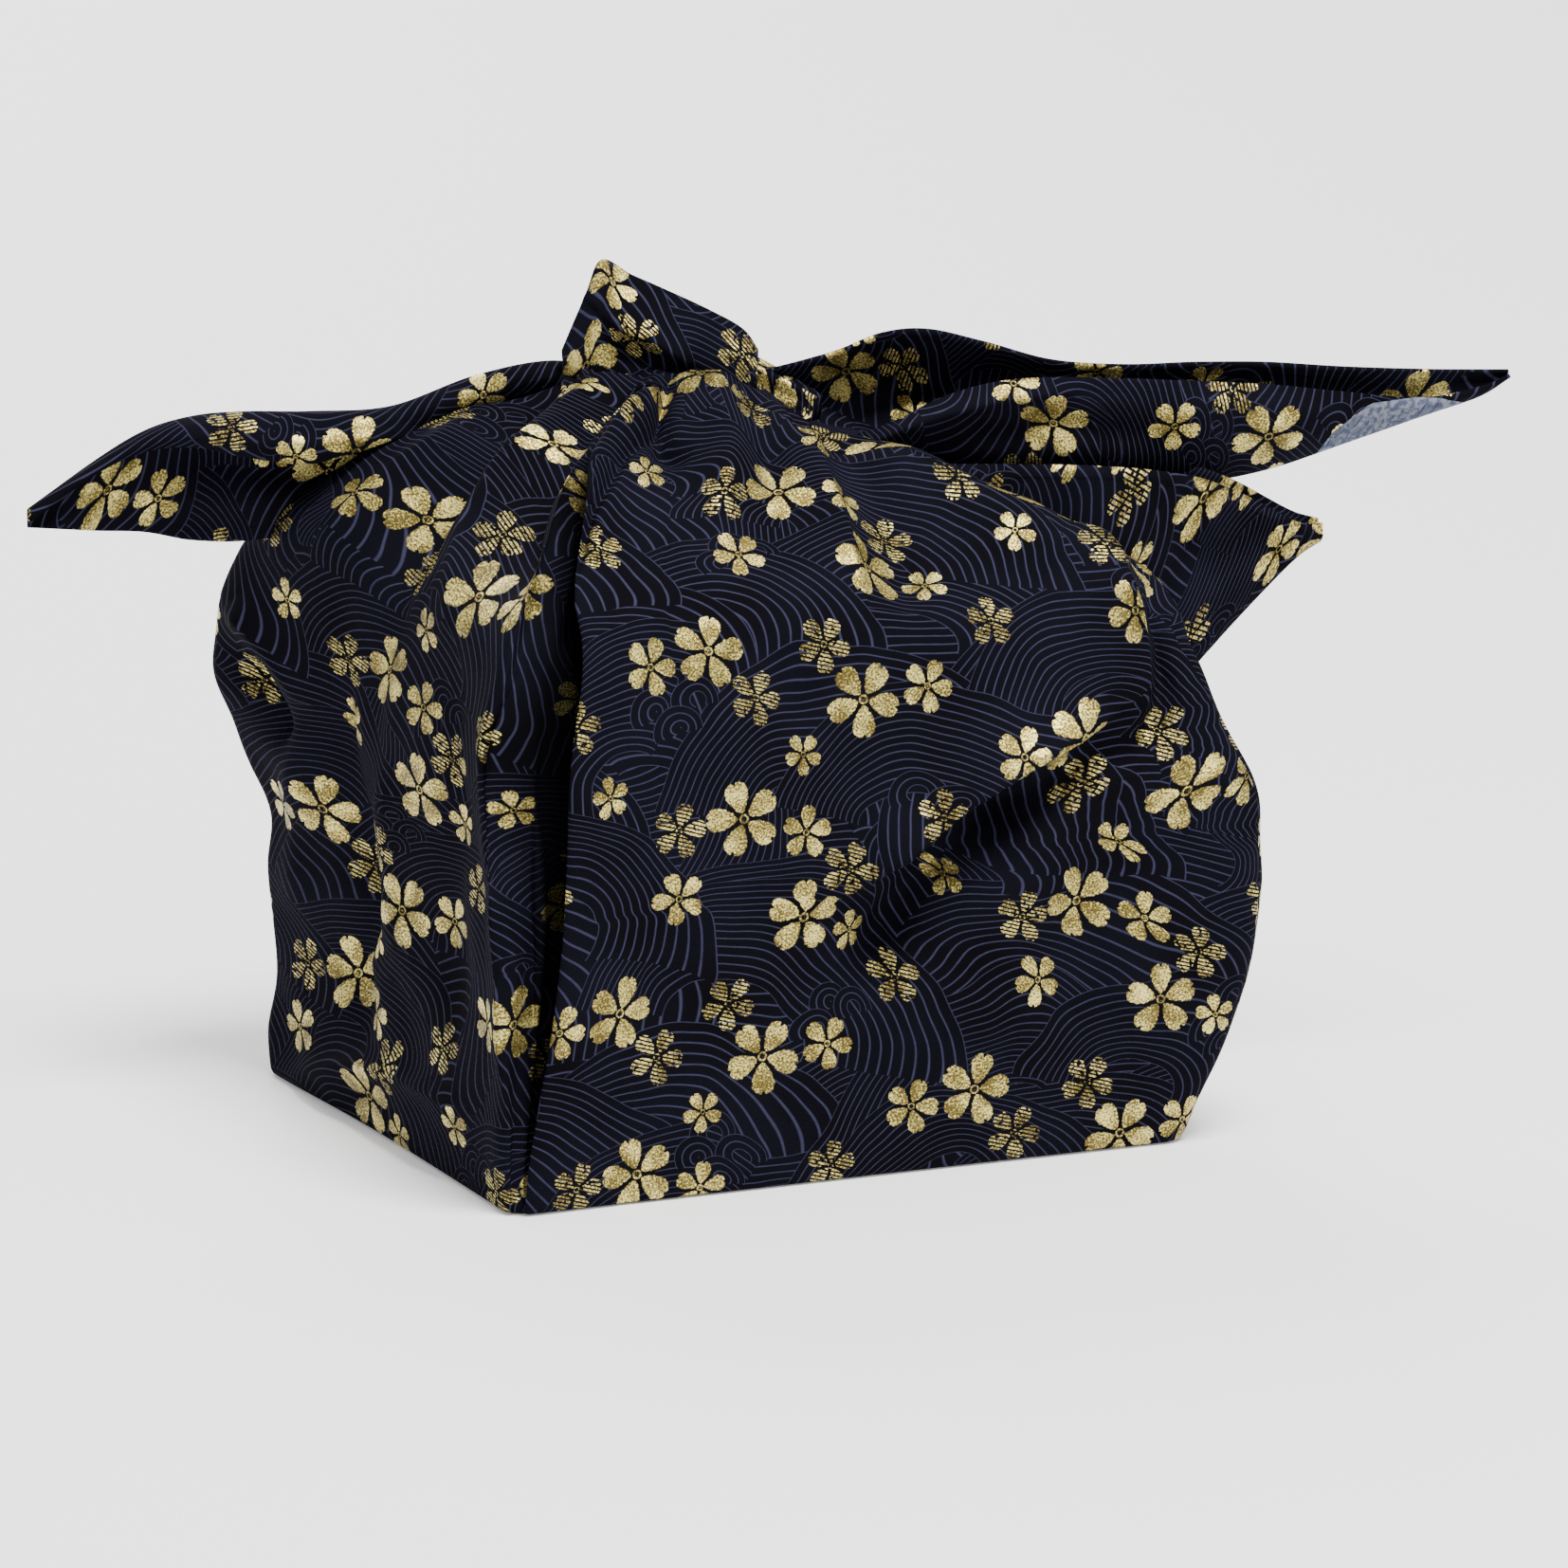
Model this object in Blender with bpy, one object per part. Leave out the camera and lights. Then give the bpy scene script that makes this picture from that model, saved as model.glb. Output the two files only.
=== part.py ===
"""Furoshiki wrap: one square of cloth drawn up round a box-shaped load and tied on top.

All lengths in the tables are in millimetres. The origin is on the surface, under the middle of the bundle.
+X runs along the front face to the right, +Y away from the viewer and +Z up.
"""

import bmesh
import bpy
import numpy as np

MM = 0.001

# The cloth, as built: thicker than the real 0.4 mm, so that it makes a sound solid.
SHEET = 1.4

# The colour of the ground, a dark navy.
NAVY = (0.012, 0.013, 0.042, 1.0)
ROUGHNESS = 0.85

# The bundle, as level sections from the base to the knot. right, left, front and back are the distances of its
# four sides from the origin, corner the radius of its vertical edges and lean the angle in degrees by which the
# cloth faces upwards. swell_right and swell_left are how far the loose cloth stands out at the right and the left
# corner. pleat is the share of the pleat's full depth, and ridge and edge are the places of the pleat's two folds
# along the cloth, measured from the near corner: negative on the left face, positive on the front.
LEVEL_COLUMNS = (
    "height", "right", "left", "front", "back", "corner",
    "swell_right", "swell_left", "lean", "pleat", "ridge", "edge",
)
LEVELS = (
    (0.0, 81.5, 81.5, 68.5, 68.8, 5.0, 1.5, 3.0, 0, 0.15, -1.5, 5.0),
    (1.8, 82.8, 83.0, 70.0, 70.2, 6.0, 2.2, 3.2, 0, 0.30, -1.5, 5.2),
    (12.0, 83.0, 83.6, 70.4, 70.6, 7.0, 6.4, 2.6, 0, 0.70, -1.5, 6.3),
    (24.0, 83.2, 83.2, 70.4, 70.8, 8.0, 11.8, 2.0, 0, 0.90, -1.5, 7.6),
    (37.0, 83.4, 82.4, 70.8, 70.6, 9.0, 16.4, 3.4, 0, 1.00, -2.0, 9.0),
    (50.0, 83.4, 82.0, 71.2, 70.6, 10.0, 18.6, 5.6, 0, 1.00, -2.0, 10.4),
    (62.0, 83.6, 82.0, 71.6, 71.0, 11.0, 20.4, 5.0, 0, 1.00, -2.5, 11.6),
    (73.0, 83.4, 82.4, 71.8, 71.2, 11.0, 19.6, 9.2, 0, 1.00, -5.0, 12.7),
    (84.0, 83.0, 83.0, 71.8, 71.6, 11.0, 17.8, 12.4, 0, 1.00, -9.0, 13.9),
    (95.0, 82.6, 83.6, 71.6, 71.6, 10.0, 12.8, 15.8, 5, 1.00, -11.0, 15.0),
    (105.0, 82.4, 83.4, 71.0, 71.4, 10.0, 8.4, 15.0, 12, 1.00, -10.0, 16.0),
    (114.0, 82.0, 82.6, 70.0, 70.8, 10.0, 6.0, 12.4, 22, 1.00, -7.0, 17.0),
    (122.0, 81.4, 81.6, 68.4, 69.6, 10.0, 4.6, 9.4, 35, 1.00, -4.0, 17.8),
    (129.0, 79.0, 79.6, 65.4, 68.0, 11.0, 3.0, 5.4, 50, 1.00, -2.0, 17.0),
    (136.0, 71.0, 73.6, 57.6, 61.4, 12.0, 1.4, 2.4, 58, 1.00, -1.0, 12.5),
    (143.5, 58.5, 64.0, 48.0, 53.0, 12.0, 0.6, 1.2, 60, 1.00, -1.0, 8.0),
    (151.0, 44.5, 54.0, 38.0, 43.0, 11.0, 0.0, 0.6, 60, 0.90, -2.0, 4.0),
    (158.0, 31.0, 44.0, 28.5, 33.5, 10.0, 0.0, 0.0, 60, 0.90, -3.5, 0.0),
    (165.0, 17.0, 34.0, 19.0, 24.5, 9.0, 0.0, 0.0, 60, 0.80, -4.0, -2.0),
    (171.0, 6.0, 27.0, 12.0, 17.5, 7.0, 0.0, 0.0, 60, 0.70, -3.0, -1.5),
    (176.0, -3.0, 21.0, 7.0, 12.0, 5.0, 0.0, 0.0, 60, 0.40, -1.0, 0.0),
)
SECTIONS = 36

# How far the swell at a corner reaches along the two faces.
SWELL_REACH = 42.0

# The pleat at the near corner, across the cloth. It runs from the left face over a ridge, down into a set-back
# panel, on under the front face's cloth, back out to that cloth's folded edge and over it. The columns are the
# share of the way from the ridge to the edge, the distance beyond that place and the height out from the face.
PLEAT = (
    (0.0, -12.0, 0.3),
    (0.0, -5.0, 1.4),
    (0.0, -1.2, 2.4),
    (0.0, 0.6, 1.6),
    (0.0, 1.4, -0.8),
    (0.15, 1.0, -3.0),
    (0.4, 0.0, -3.8),
    (0.7, 0.0, -4.0),
    (1.0, 0.0, -4.0),
    (1.0, 7.0, -3.9),
    (1.0, 9.2, -3.0),
    (1.0, 7.0, -2.0),
    (1.0, 2.0, -1.3),
    (1.0, 0.2, -0.6),
    (1.0, -0.4, 0.7),
    (1.0, 0.8, 2.0),
    (1.0, 4.0, 2.5),
    (1.0, 10.0, 1.8),
    (1.0, 20.0, 0.5),
)

# The main folds of the bundle, drawn as straight strokes on an upright plane that faces the viewer or, for the far
# side, the other way. The columns are the two ends as distances to the right and up on that plane, then the
# stroke's width and its depth, which is negative for a trough.
NEAR_FOLDS = (
    (15.0, 160.0, 31.0, 122.0, 4.0, 2.4),
    (22.0, 156.0, 42.0, 120.0, 6.0, -2.6),
    (-13.0, 166.0, -9.0, 152.0, 4.0, -4.5),
    (-9.0, 152.0, -17.0, 142.0, 4.5, -2.6),
    (2.0, 164.0, 12.0, 140.0, 7.0, 2.2),
    (66.0, 82.0, 40.0, 61.0, 6.0, 3.8),
    (66.0, 74.0, 44.0, 54.0, 8.0, -3.6),
    (44.0, 52.0, 34.0, 32.0, 9.0, -3.6),
    (62.0, 134.0, 86.0, 120.0, 8.0, 2.4),
    (82.0, 120.0, 95.0, 90.0, 6.0, 3.6),
    (97.0, 112.0, 98.0, 84.0, 5.5, -4.6),
    (66.0, 84.0, 96.0, 88.0, 6.5, -3.0),
    (108.0, 78.0, 100.0, 30.0, 14.0, 2.0),
    (-62.0, 150.0, -100.0, 118.0, 8.0, 2.2),
    (-40.0, 150.0, -70.0, 118.0, 9.0, -2.4),
    (-86.0, 98.0, -82.0, 48.0, 8.0, -3.2),
    (-82.0, 48.0, -83.0, 20.0, 8.0, -3.6),
    (-100.0, 6.0, -78.0, 9.0, 5.0, 3.0),
    (-70.0, 70.0, -66.0, 20.0, 8.0, 1.6),
)
FAR_FOLDS = (
    (8.0, 160.0, -20.0, 124.0, 7.0, -3.4),
    (20.0, 160.0, 34.0, 122.0, 6.0, 3.0),
    (36.0, 156.0, 62.0, 126.0, 7.0, -3.0),
    (-16.0, 156.0, -52.0, 128.0, 7.0, 2.6),
    (-60.0, 118.0, -84.0, 70.0, 9.0, -3.4),
    (70.0, 112.0, 88.0, 60.0, 9.0, 2.8),
    (62.0, 96.0, 74.0, 44.0, 9.0, -3.2),
    (-10.0, 84.0, 36.0, 70.0, 9.0, -2.6),
    (-30.0, 60.0, -8.0, 20.0, 10.0, 2.4),
)

# The viewer's direction: the front face is turned away by this angle in degrees, and seen from a little above.
TURN = 23.4
RISE = 14.0

# The knot, where all the folds meet.
KNOT = (-15.0, 2.0)

# The tails and the wing are sheets folded lengthwise. reach is the distance along from the start, fold the height
# of the folded edge, front and back the heights of the two free edges and spread how far apart they stand. The
# heights are those of the upright plane through the start and the end. What stands nearer than that plane is
# lifted by RISE_SLOPE times its distance, so that the viewer still sees it at the table's height.
RISE_SLOPE = 0.25
TAIL_COLUMNS = ("reach", "fold", "front", "back", "spread")
RIGHT_TAIL_END = (180.0, -36.0)
RIGHT_TAIL_BOW = -5.0
RIGHT_TAIL = (
    (2.0, 158.0, 163.0, 170.0, 10.0),
    (20.0, 153.0, 160.0, 171.5, 16.0),
    (40.0, 149.5, 156.0, 175.5, 23.0),
    (52.0, 148.0, 159.0, 179.5, 27.0),
    (63.0, 147.0, 164.5, 180.0, 27.0),
    (76.0, 145.0, 168.5, 176.5, 23.0),
    (92.0, 142.5, 169.5, 171.0, 19.0),
    (110.0, 141.0, 168.0, 169.0, 16.0),
    (127.0, 141.5, 166.5, 169.0, 14.0),
    (143.0, 144.0, 165.0, 168.0, 12.0),
    (160.0, 149.0, 162.0, 165.5, 9.0),
    (178.0, 155.5, 161.5, 164.5, 6.0),
    (198.0, 158.5, 163.0, 164.5, 3.8),
)
LEFT_TAIL_END = (-150.0, 55.0)
LEFT_TAIL_BOW = 6.0
LEFT_TAIL = (
    (4.0, 174.0, 160.0, 158.0, 12.0),
    (20.0, 176.5, 160.0, 157.0, 16.0),
    (38.0, 173.5, 158.0, 151.0, 18.0),
    (57.0, 166.5, 153.0, 144.0, 18.0),
    (75.0, 165.0, 150.5, 138.0, 18.0),
    (90.0, 164.5, 153.0, 135.5, 17.0),
    (104.0, 163.5, 156.0, 135.5, 14.0),
    (116.0, 159.5, 152.0, 136.5, 10.0),
    (130.0, 152.5, 147.5, 137.0, 7.0),
    (146.0, 142.0, 139.0, 138.0, 3.8),
)
WING_START = (60.0, -14.0)
WING_END = (135.0, -28.0)
WING_BOW = 3.0
WING = (
    (0.0, 58.0, 148.0, 150.0, 14.0),
    (26.0, 78.0, 146.0, 149.0, 14.0),
    (44.0, 96.0, 143.0, 146.5, 11.0),
    (57.0, 109.5, 138.0, 141.5, 8.0),
    (70.0, 122.0, 131.0, 134.0, 5.0),
    (77.0, 126.5, 130.5, 131.5, 3.8),
)

# The ear: along is the distance to the right of the knot as the viewer sees it.
EAR_COLUMNS = ("along", "low", "high", "tilt")
EAR = (
    (-22.5, 172.0, 177.0, 0.5),
    (-17.0, 170.0, 190.0, 3.0),
    (-13.8, 168.0, 197.0, 5.0),
    (-7.0, 166.0, 193.5, 5.0),
    (1.0, 165.0, 190.0, 4.5),
    (11.0, 165.0, 185.5, 3.5),
    (18.0, 165.0, 181.5, 3.0),
    (21.5, 166.0, 176.5, 3.0),
)

# The lump of the knot, half of its size each way, and the height of its middle.
LUMP = (19.0, 11.0, 12.0)
LUMP_MIDDLE = (-12.0, 8.0, 168.0)


def table(rows, names, at):
    """Reads a table at fractional row numbers, with a smooth curve through the rows."""
    values = np.asarray(rows, float)
    slopes = np.gradient(values, axis=0)
    low = np.clip(np.floor(at).astype(int), 0, len(values) - 2)
    t = (at - low)[:, None]
    a, b = values[low], values[low + 1]
    p, q = slopes[low], slopes[low + 1]
    mixed = (2 * t**3 - 3 * t**2 + 1) * a + (t**3 - 2 * t**2 + t) * p
    mixed = mixed + (3 * t**2 - 2 * t**3) * b + (t**3 - t**2) * q
    return {name: mixed[:, k] for k, name in enumerate(names)}


def viewer(side=1):
    """The right, up and forward directions of the viewer, or of one on the far side when side is -1."""
    turn, rise = np.radians(TURN), np.radians(RISE)
    right = np.array([np.cos(turn), -np.sin(turn), 0]) * side
    level = np.array([np.sin(turn), np.cos(turn), 0]) * side
    up = np.sin(rise) * level + np.cos(rise) * np.array([0, 0, 1])
    forward = np.cos(rise) * level - np.sin(rise) * np.array([0, 0, 1])
    return right, up, forward


def swell(level, face, along):
    """How far the loose cloth is moved outwards near the right and the left corner."""
    right_turn = along - face_length(level, 0) if face == 0 else along + 1000.0 * (face != 1)
    left_turn = along if face == 3 else along - face_length(level, 2) + 1000.0 * (face != 2)
    amount = level["swell_right"] * np.exp(-((right_turn / SWELL_REACH) ** 2))
    amount = amount - level["swell_left"] * np.exp(-((left_turn / SWELL_REACH) ** 2))
    return viewer()[0][:2] * amount


def on_section(level, face, along):
    """A point of one section and its outward direction: along is the distance from the face's first corner."""
    right, left, front, back = (level[k] for k in ("right", "left", "front", "back"))
    middle = np.array([(right - left) / 2, (back - front) / 2])
    half_x, half_y = (right + left) / 2, (front + back) / 2
    half, depth = ((half_x, half_y), (half_y, half_x))[face % 2]
    outward = np.array(((0, -1), (1, 0), (0, 1), (-1, 0))[face], float)
    onward = np.array(((1, 0), (0, 1), (-1, 0), (0, -1))[face], float)
    corner = level["corner"]
    place = along - half
    past = max(abs(place) - (half - corner), 0.0)
    angle = np.sign(place) * np.pi / 4 * min(past / corner, 1.0)
    flat = np.clip(place, corner - half, half - corner)
    direction = np.cos(angle) * outward + np.sin(angle) * onward
    point = middle + outward * (depth - corner) + onward * flat + direction * corner
    return point, direction


def face_length(level, face):
    """The length of one side of a section."""
    if face % 2 == 0:
        return level["right"] + level["left"]
    return level["front"] + level["back"]


def section_route(level):
    """Where the cloth of one section runs: face, distance along it and height off it."""
    route = []
    shrink = min(1.0, face_length(level, 0) / 80.0)
    for share, beyond, out in PLEAT:
        along = level["ridge"] + share * (level["edge"] - level["ridge"]) + beyond * shrink
        face, length = (0, 0.0) if along >= 0 else (3, face_length(level, 3))
        route.append((face, length + along, out * level["pleat"] * shrink))
    first = route[-1][1]
    last = route[0][1] if route[0][0] == 3 else face_length(level, 3)
    for face, count in ((0, 14), (1, 8), (2, 10), (3, 10)):
        length = face_length(level, face)
        corner = level["corner"]
        start = first + 6 * shrink if face == 0 else corner
        stop = last - 4 * shrink if face == 3 else length - corner
        if face:
            route.append((face, corner * 0.5, 0.0))
        route.extend((face, along, 0.0) for along in np.linspace(start, stop, count))
        if face < 3:
            route.append((face, length - corner * 0.5, 0.0))
            route.append((face, length, 0.0))
    return route


def folded(points, normals, folds, side):
    """Moves points along their normals by the folds drawn on the viewer's plane. side is 1 near and -1 far."""
    right, up, forward = viewer(side)
    x, z = points @ right, points @ up
    facing = np.clip(-(normals @ forward) * 2.5, 0, 1)
    low = np.clip((points[:, 2] - 1.0) / 12.0, 0, 1)
    height = np.zeros(len(points))
    for x1, z1, x2, z2, width, depth in folds:
        run = np.array([x2 - x1, z2 - z1])
        t = np.clip(((x - x1) * run[0] + (z - z1) * run[1]) / (run @ run), 0, 1)
        away = np.hypot(x - x1 - t * run[0], z - z1 - t * run[1])
        height += depth * np.exp(-((away / width) ** 2))
    return points + normals * (facing * low * height)[:, None]


def bundle_sections():
    """All the bundle's sections, as closed loops of points from the base to the knot."""
    levels = table(LEVELS, LEVEL_COLUMNS, np.linspace(0, len(LEVELS) - 1, SECTIONS))
    sections = []
    for k in range(SECTIONS):
        level = {name: values[k] for name, values in levels.items()}
        lean = np.radians(level["lean"])
        points, normals = [], []
        for face, along, out in section_route(level):
            place, direction = on_section(level, face, along)
            place = place + swell(level, face, along)
            normal = np.array([*(direction * np.cos(lean)), np.sin(lean)])
            points.append(np.array([*place, level["height"]]) + normal * out)
            normals.append(normal)
        points, normals = np.array(points), np.array(normals)
        near = folded(points, normals, NEAR_FOLDS, 1)
        sections.append(folded(near, normals, FAR_FOLDS, -1))
    return sections


def add_object(name, mesh_maker):
    """A new object whose mesh the given function fills."""
    mesh = bpy.data.meshes.new(name)
    shape = bmesh.new()
    mesh_maker(shape)
    bmesh.ops.recalc_face_normals(shape, faces=shape.faces)
    shape.to_mesh(mesh)
    shape.free()
    thing = bpy.data.objects.new(name, mesh)
    bpy.context.scene.collection.objects.link(thing)
    return thing


def bridge(shape, rows, closed):
    """Bridges rows of points into a skin, and caps the two ends of a closed one."""
    chains = []
    for row in rows:
        verts = [shape.verts.new([float(c) * MM for c in point]) for point in row]
        edges = [shape.edges.new(pair) for pair in zip(verts, verts[1:])]
        if closed:
            edges.append(shape.edges.new((verts[-1], verts[0])))
        chains.append((verts, edges))
    for (low, low_edges), (high, high_edges) in zip(chains, chains[1:]):
        bmesh.ops.bridge_loops(shape, edges=low_edges + high_edges)
    if closed:
        shape.faces.new(chains[0][0])
        shape.faces.new(chains[-1][0])


def folded_sheet(rows, start, end, bow):
    """The rows of points of a sheet folded lengthwise, from one free edge round the fold to the other."""
    start, end = np.array(start), np.array(end)
    length = np.linalg.norm(end - start)
    onward = (end - start) / length
    toward = np.array([onward[1], -onward[0]])
    if toward[1] > 0:
        toward = -toward
    values = table(rows, TAIL_COLUMNS, np.linspace(0, len(rows) - 1, 2 * len(rows) - 1))
    chains = []
    for reach, fold, front, back, spread in zip(*(values[name] for name in TAIL_COLUMNS)):
        bend = bow * np.sin(np.pi * np.clip(reach / length, 0, 1))
        guide = np.array([
            (-0.5 * spread, back),
            (-0.52 * spread, fold * 0.4 + back * 0.6),
            (-0.36 * spread, fold * 0.78 + back * 0.22),
            (0.0, fold),
            (0.36 * spread, fold * 0.76 + front * 0.24),
            (0.5 * spread, fold * 0.38 + front * 0.62),
            (0.42 * spread, front),
        ])
        across = table(guide, ("out", "height"), np.linspace(0, 6, 13))
        outs = across["out"] + bend
        chains.append([
            (*(start + onward * reach + toward * out), height + RISE_SLOPE * out)
            for out, height in zip(outs, across["height"])
        ])
    return chains


def ear_rows():
    """The rows of points of the ear, each from its root in the knot up to its free edge."""
    right, up, forward = viewer()
    values = table(EAR, EAR_COLUMNS, np.linspace(0, len(EAR) - 1, 2 * len(EAR) - 1))
    rows = []
    for along, low, high, tilt in zip(*(values[name] for name in EAR_COLUMNS)):
        row = []
        for t in np.linspace(0, 1, 7):
            back = 4.0 + tilt * t - 2.2 * np.sin(np.pi * t)
            place = np.array([*KNOT]) + right[:2] * along + forward[:2] / np.hypot(*forward[:2]) * back
            row.append((*place, low + (high - low) * t))
        rows.append(row)
    return rows


def sheet_object(name, rows):
    """A sheet of cloth of the built thickness, from rows of points."""
    thing = add_object(name, lambda shape: bridge(shape, rows, closed=False))
    solidify = thing.modifiers.new("cloth thickness", "SOLIDIFY")
    solidify.thickness = SHEET * MM
    solidify.offset = 0.0
    return thing


def lump_object():
    """The lump of the knot, a flattened ball."""
    def fill(shape):
        bmesh.ops.create_uvsphere(shape, u_segments=20, v_segments=12, radius=1.0)
        for vert in shape.verts:
            vert.co = [
                (middle + half * c) * MM
                for c, half, middle in zip(vert.co, LUMP, LUMP_MIDDLE)
            ]
    return add_object("knot lump", fill)


def navy_cloth():
    """The cloth's material."""
    material = bpy.data.materials.new("navy cloth")
    material.use_nodes = True
    shader = material.node_tree.nodes["Principled BSDF"]
    shader.inputs["Base Color"].default_value = NAVY
    shader.inputs["Roughness"].default_value = ROUGHNESS
    shader.inputs["Metallic"].default_value = 0.0
    return material


def join(body, pieces):
    """Joins the pieces to the body, so that the cloth is one solid."""
    for piece in pieces:
        union = body.modifiers.new("join " + piece.name, "BOOLEAN")
        union.operation = "UNION"
        union.solver = "EXACT"
        union.object = piece
        piece.hide_render = True
        piece.display_type = "WIRE"


def main():
    """Builds the wrap."""
    for thing in list(bpy.data.objects):
        bpy.data.objects.remove(thing)
    sections = bundle_sections()
    wrap = add_object("wrap", lambda shape: bridge(shape, sections, closed=True))
    pieces = [
        sheet_object("right tail", folded_sheet(RIGHT_TAIL, KNOT, RIGHT_TAIL_END, RIGHT_TAIL_BOW)),
        sheet_object("left tail", folded_sheet(LEFT_TAIL, KNOT, LEFT_TAIL_END, LEFT_TAIL_BOW)),
        sheet_object("wing", folded_sheet(WING, WING_START, WING_END, WING_BOW)),
        sheet_object("ear", ear_rows()),
        lump_object(),
    ]
    join(wrap, pieces)
    wrap.data.materials.append(navy_cloth())
    for face in wrap.data.polygons:
        face.use_smooth = True
    print("wrap:", len(sections), "sections of", len(sections[0]), "points")


main()
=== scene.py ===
# %% [markdown]
# # A furoshiki wrap
# One square of navy cotton, printed with thin blue waves and gold cherry blossom, is drawn up round a box and tied
# on top. We could drape it by a cloth simulation, but a knot and a hand-laid pleat are very hard to steer that way.
# So each part of the cloth is a surface worked out from a few real sizes, with its folds laid on one by one.
# First we load the built solid, which fixes where everything is.

# %% Load the frame
import bpy
import numpy as np
from mathutils import Matrix


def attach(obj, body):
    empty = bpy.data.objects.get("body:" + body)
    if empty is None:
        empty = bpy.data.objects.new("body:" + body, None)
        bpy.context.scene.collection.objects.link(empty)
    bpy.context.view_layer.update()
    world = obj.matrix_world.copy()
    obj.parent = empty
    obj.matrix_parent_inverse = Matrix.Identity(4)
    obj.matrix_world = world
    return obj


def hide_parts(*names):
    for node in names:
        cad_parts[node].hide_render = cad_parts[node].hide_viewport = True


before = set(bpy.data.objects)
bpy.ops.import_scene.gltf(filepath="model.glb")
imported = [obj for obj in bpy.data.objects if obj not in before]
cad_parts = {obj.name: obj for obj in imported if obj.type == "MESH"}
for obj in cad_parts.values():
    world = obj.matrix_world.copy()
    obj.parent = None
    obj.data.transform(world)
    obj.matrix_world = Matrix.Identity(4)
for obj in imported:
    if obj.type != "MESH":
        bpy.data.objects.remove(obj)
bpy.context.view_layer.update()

MM = 0.001


# %% [markdown]
# ## The camera
# The photograph was taken from far away with a long lens, a little above the bundle and turned towards its near
# corner. A camera that stands close would spread the base's corners, so this one stands 4 m off and zooms in.

# %% Camera
TURN = 23.4
RISE = 14.0
CAMERA_DISTANCE = 4.0
SENSOR_WIDTH = 36.0
FARTHEST = 50.0
PHOTO_WIDTH = 0.359
PHOTO_MIDDLE = (0.0130, 0.0736)


def viewer(side=1):
    """The right, up and forward directions of the viewer, or of one on the far side when side is -1."""
    turn, rise = np.radians(TURN), np.radians(RISE)
    right = np.array([np.cos(turn), -np.sin(turn), 0]) * side
    level = np.array([np.sin(turn), np.cos(turn), 0]) * side
    up = np.sin(rise) * level + np.cos(rise) * np.array([0, 0, 1])
    forward = np.cos(rise) * level - np.sin(rise) * np.array([0, 0, 1])
    return right, up, forward


def stand(right, up, back, place):
    """The matrix that stands an object at a place, with its own x, y and z along three directions."""
    matrix = np.eye(4)
    matrix[:3] = np.column_stack([right, up, back, place])
    return Matrix(matrix.tolist())


def make_camera():
    """A camera whose picture is PHOTO_WIDTH across at the bundle, with its middle PHOTO_MIDDLE off the origin."""
    right, up, forward = viewer()
    aim = right * PHOTO_MIDDLE[0] + up * PHOTO_MIDDLE[1]
    camera = bpy.data.objects.new("camera", bpy.data.cameras.new("camera"))
    bpy.context.scene.collection.objects.link(camera)
    camera.matrix_world = stand(right, up, -forward, aim - forward * CAMERA_DISTANCE)
    camera.data.sensor_width = SENSOR_WIDTH
    camera.data.lens = SENSOR_WIDTH * CAMERA_DISTANCE / PHOTO_WIDTH
    camera.data.clip_end = FARTHEST
    bpy.context.scene.camera = camera
    return camera


camera = make_camera()
print("lens", round(camera.data.lens), "mm")

# %% [markdown]
# ## Reading a table of sizes
# A maker would give the bundle's size at a few heights and let the cloth run smoothly between them. A Subdivision
# Surface would do it too, but it pulls away from the sizes that it is given. `table` joins the rows by cubic curves
# that pass through every row, and reads all columns at even steps from the first row to the last.

# %% Smooth tables


def table(rows, names, count, upright=False):
    """Cubic Hermite curves through the rows: each row's slope is half the difference of its two neighbours.

    Each column is an array of count numbers, or of the shape (count, 1) where it is upright.
    """
    values = np.asarray(rows, float)
    slopes = np.gradient(values, axis=0)
    at = np.linspace(0, len(values) - 1, count)
    low = np.clip(np.floor(at).astype(int), 0, len(values) - 2)
    t = (at - low)[:, None]
    a, b, p, q = values[low], values[low + 1], slopes[low], slopes[low + 1]
    mixed = (2 * t**3 - 3 * t**2 + 1) * a + (t**3 - 2 * t**2 + t) * p
    mixed = mixed + (3 * t**2 - 2 * t**3) * b + (t**3 - t**2) * q
    return {name: mixed[:, k, None] if upright else mixed[:, k] for k, name in enumerate(names)}


print("half way from 0 to 10 a table gives", table(((0,), (10,)), ("size",), 3)["size"][1])

# %% [markdown]
# ## The bundle's sections
# Each row is a level cut through the bundle: its height, the distances of its four sides from the middle, the
# radius of its upright edges, how far the loose cloth swells out at the right and left corners, how far round from
# the left corner that swell has its middle, how many degrees the cloth leans back, how much of the pleat there is,
# and where its two folds lie. The walls are steep up to the shoulders at 129 mm. Above them the cloth rises as a
# tent to the knot.

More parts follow.
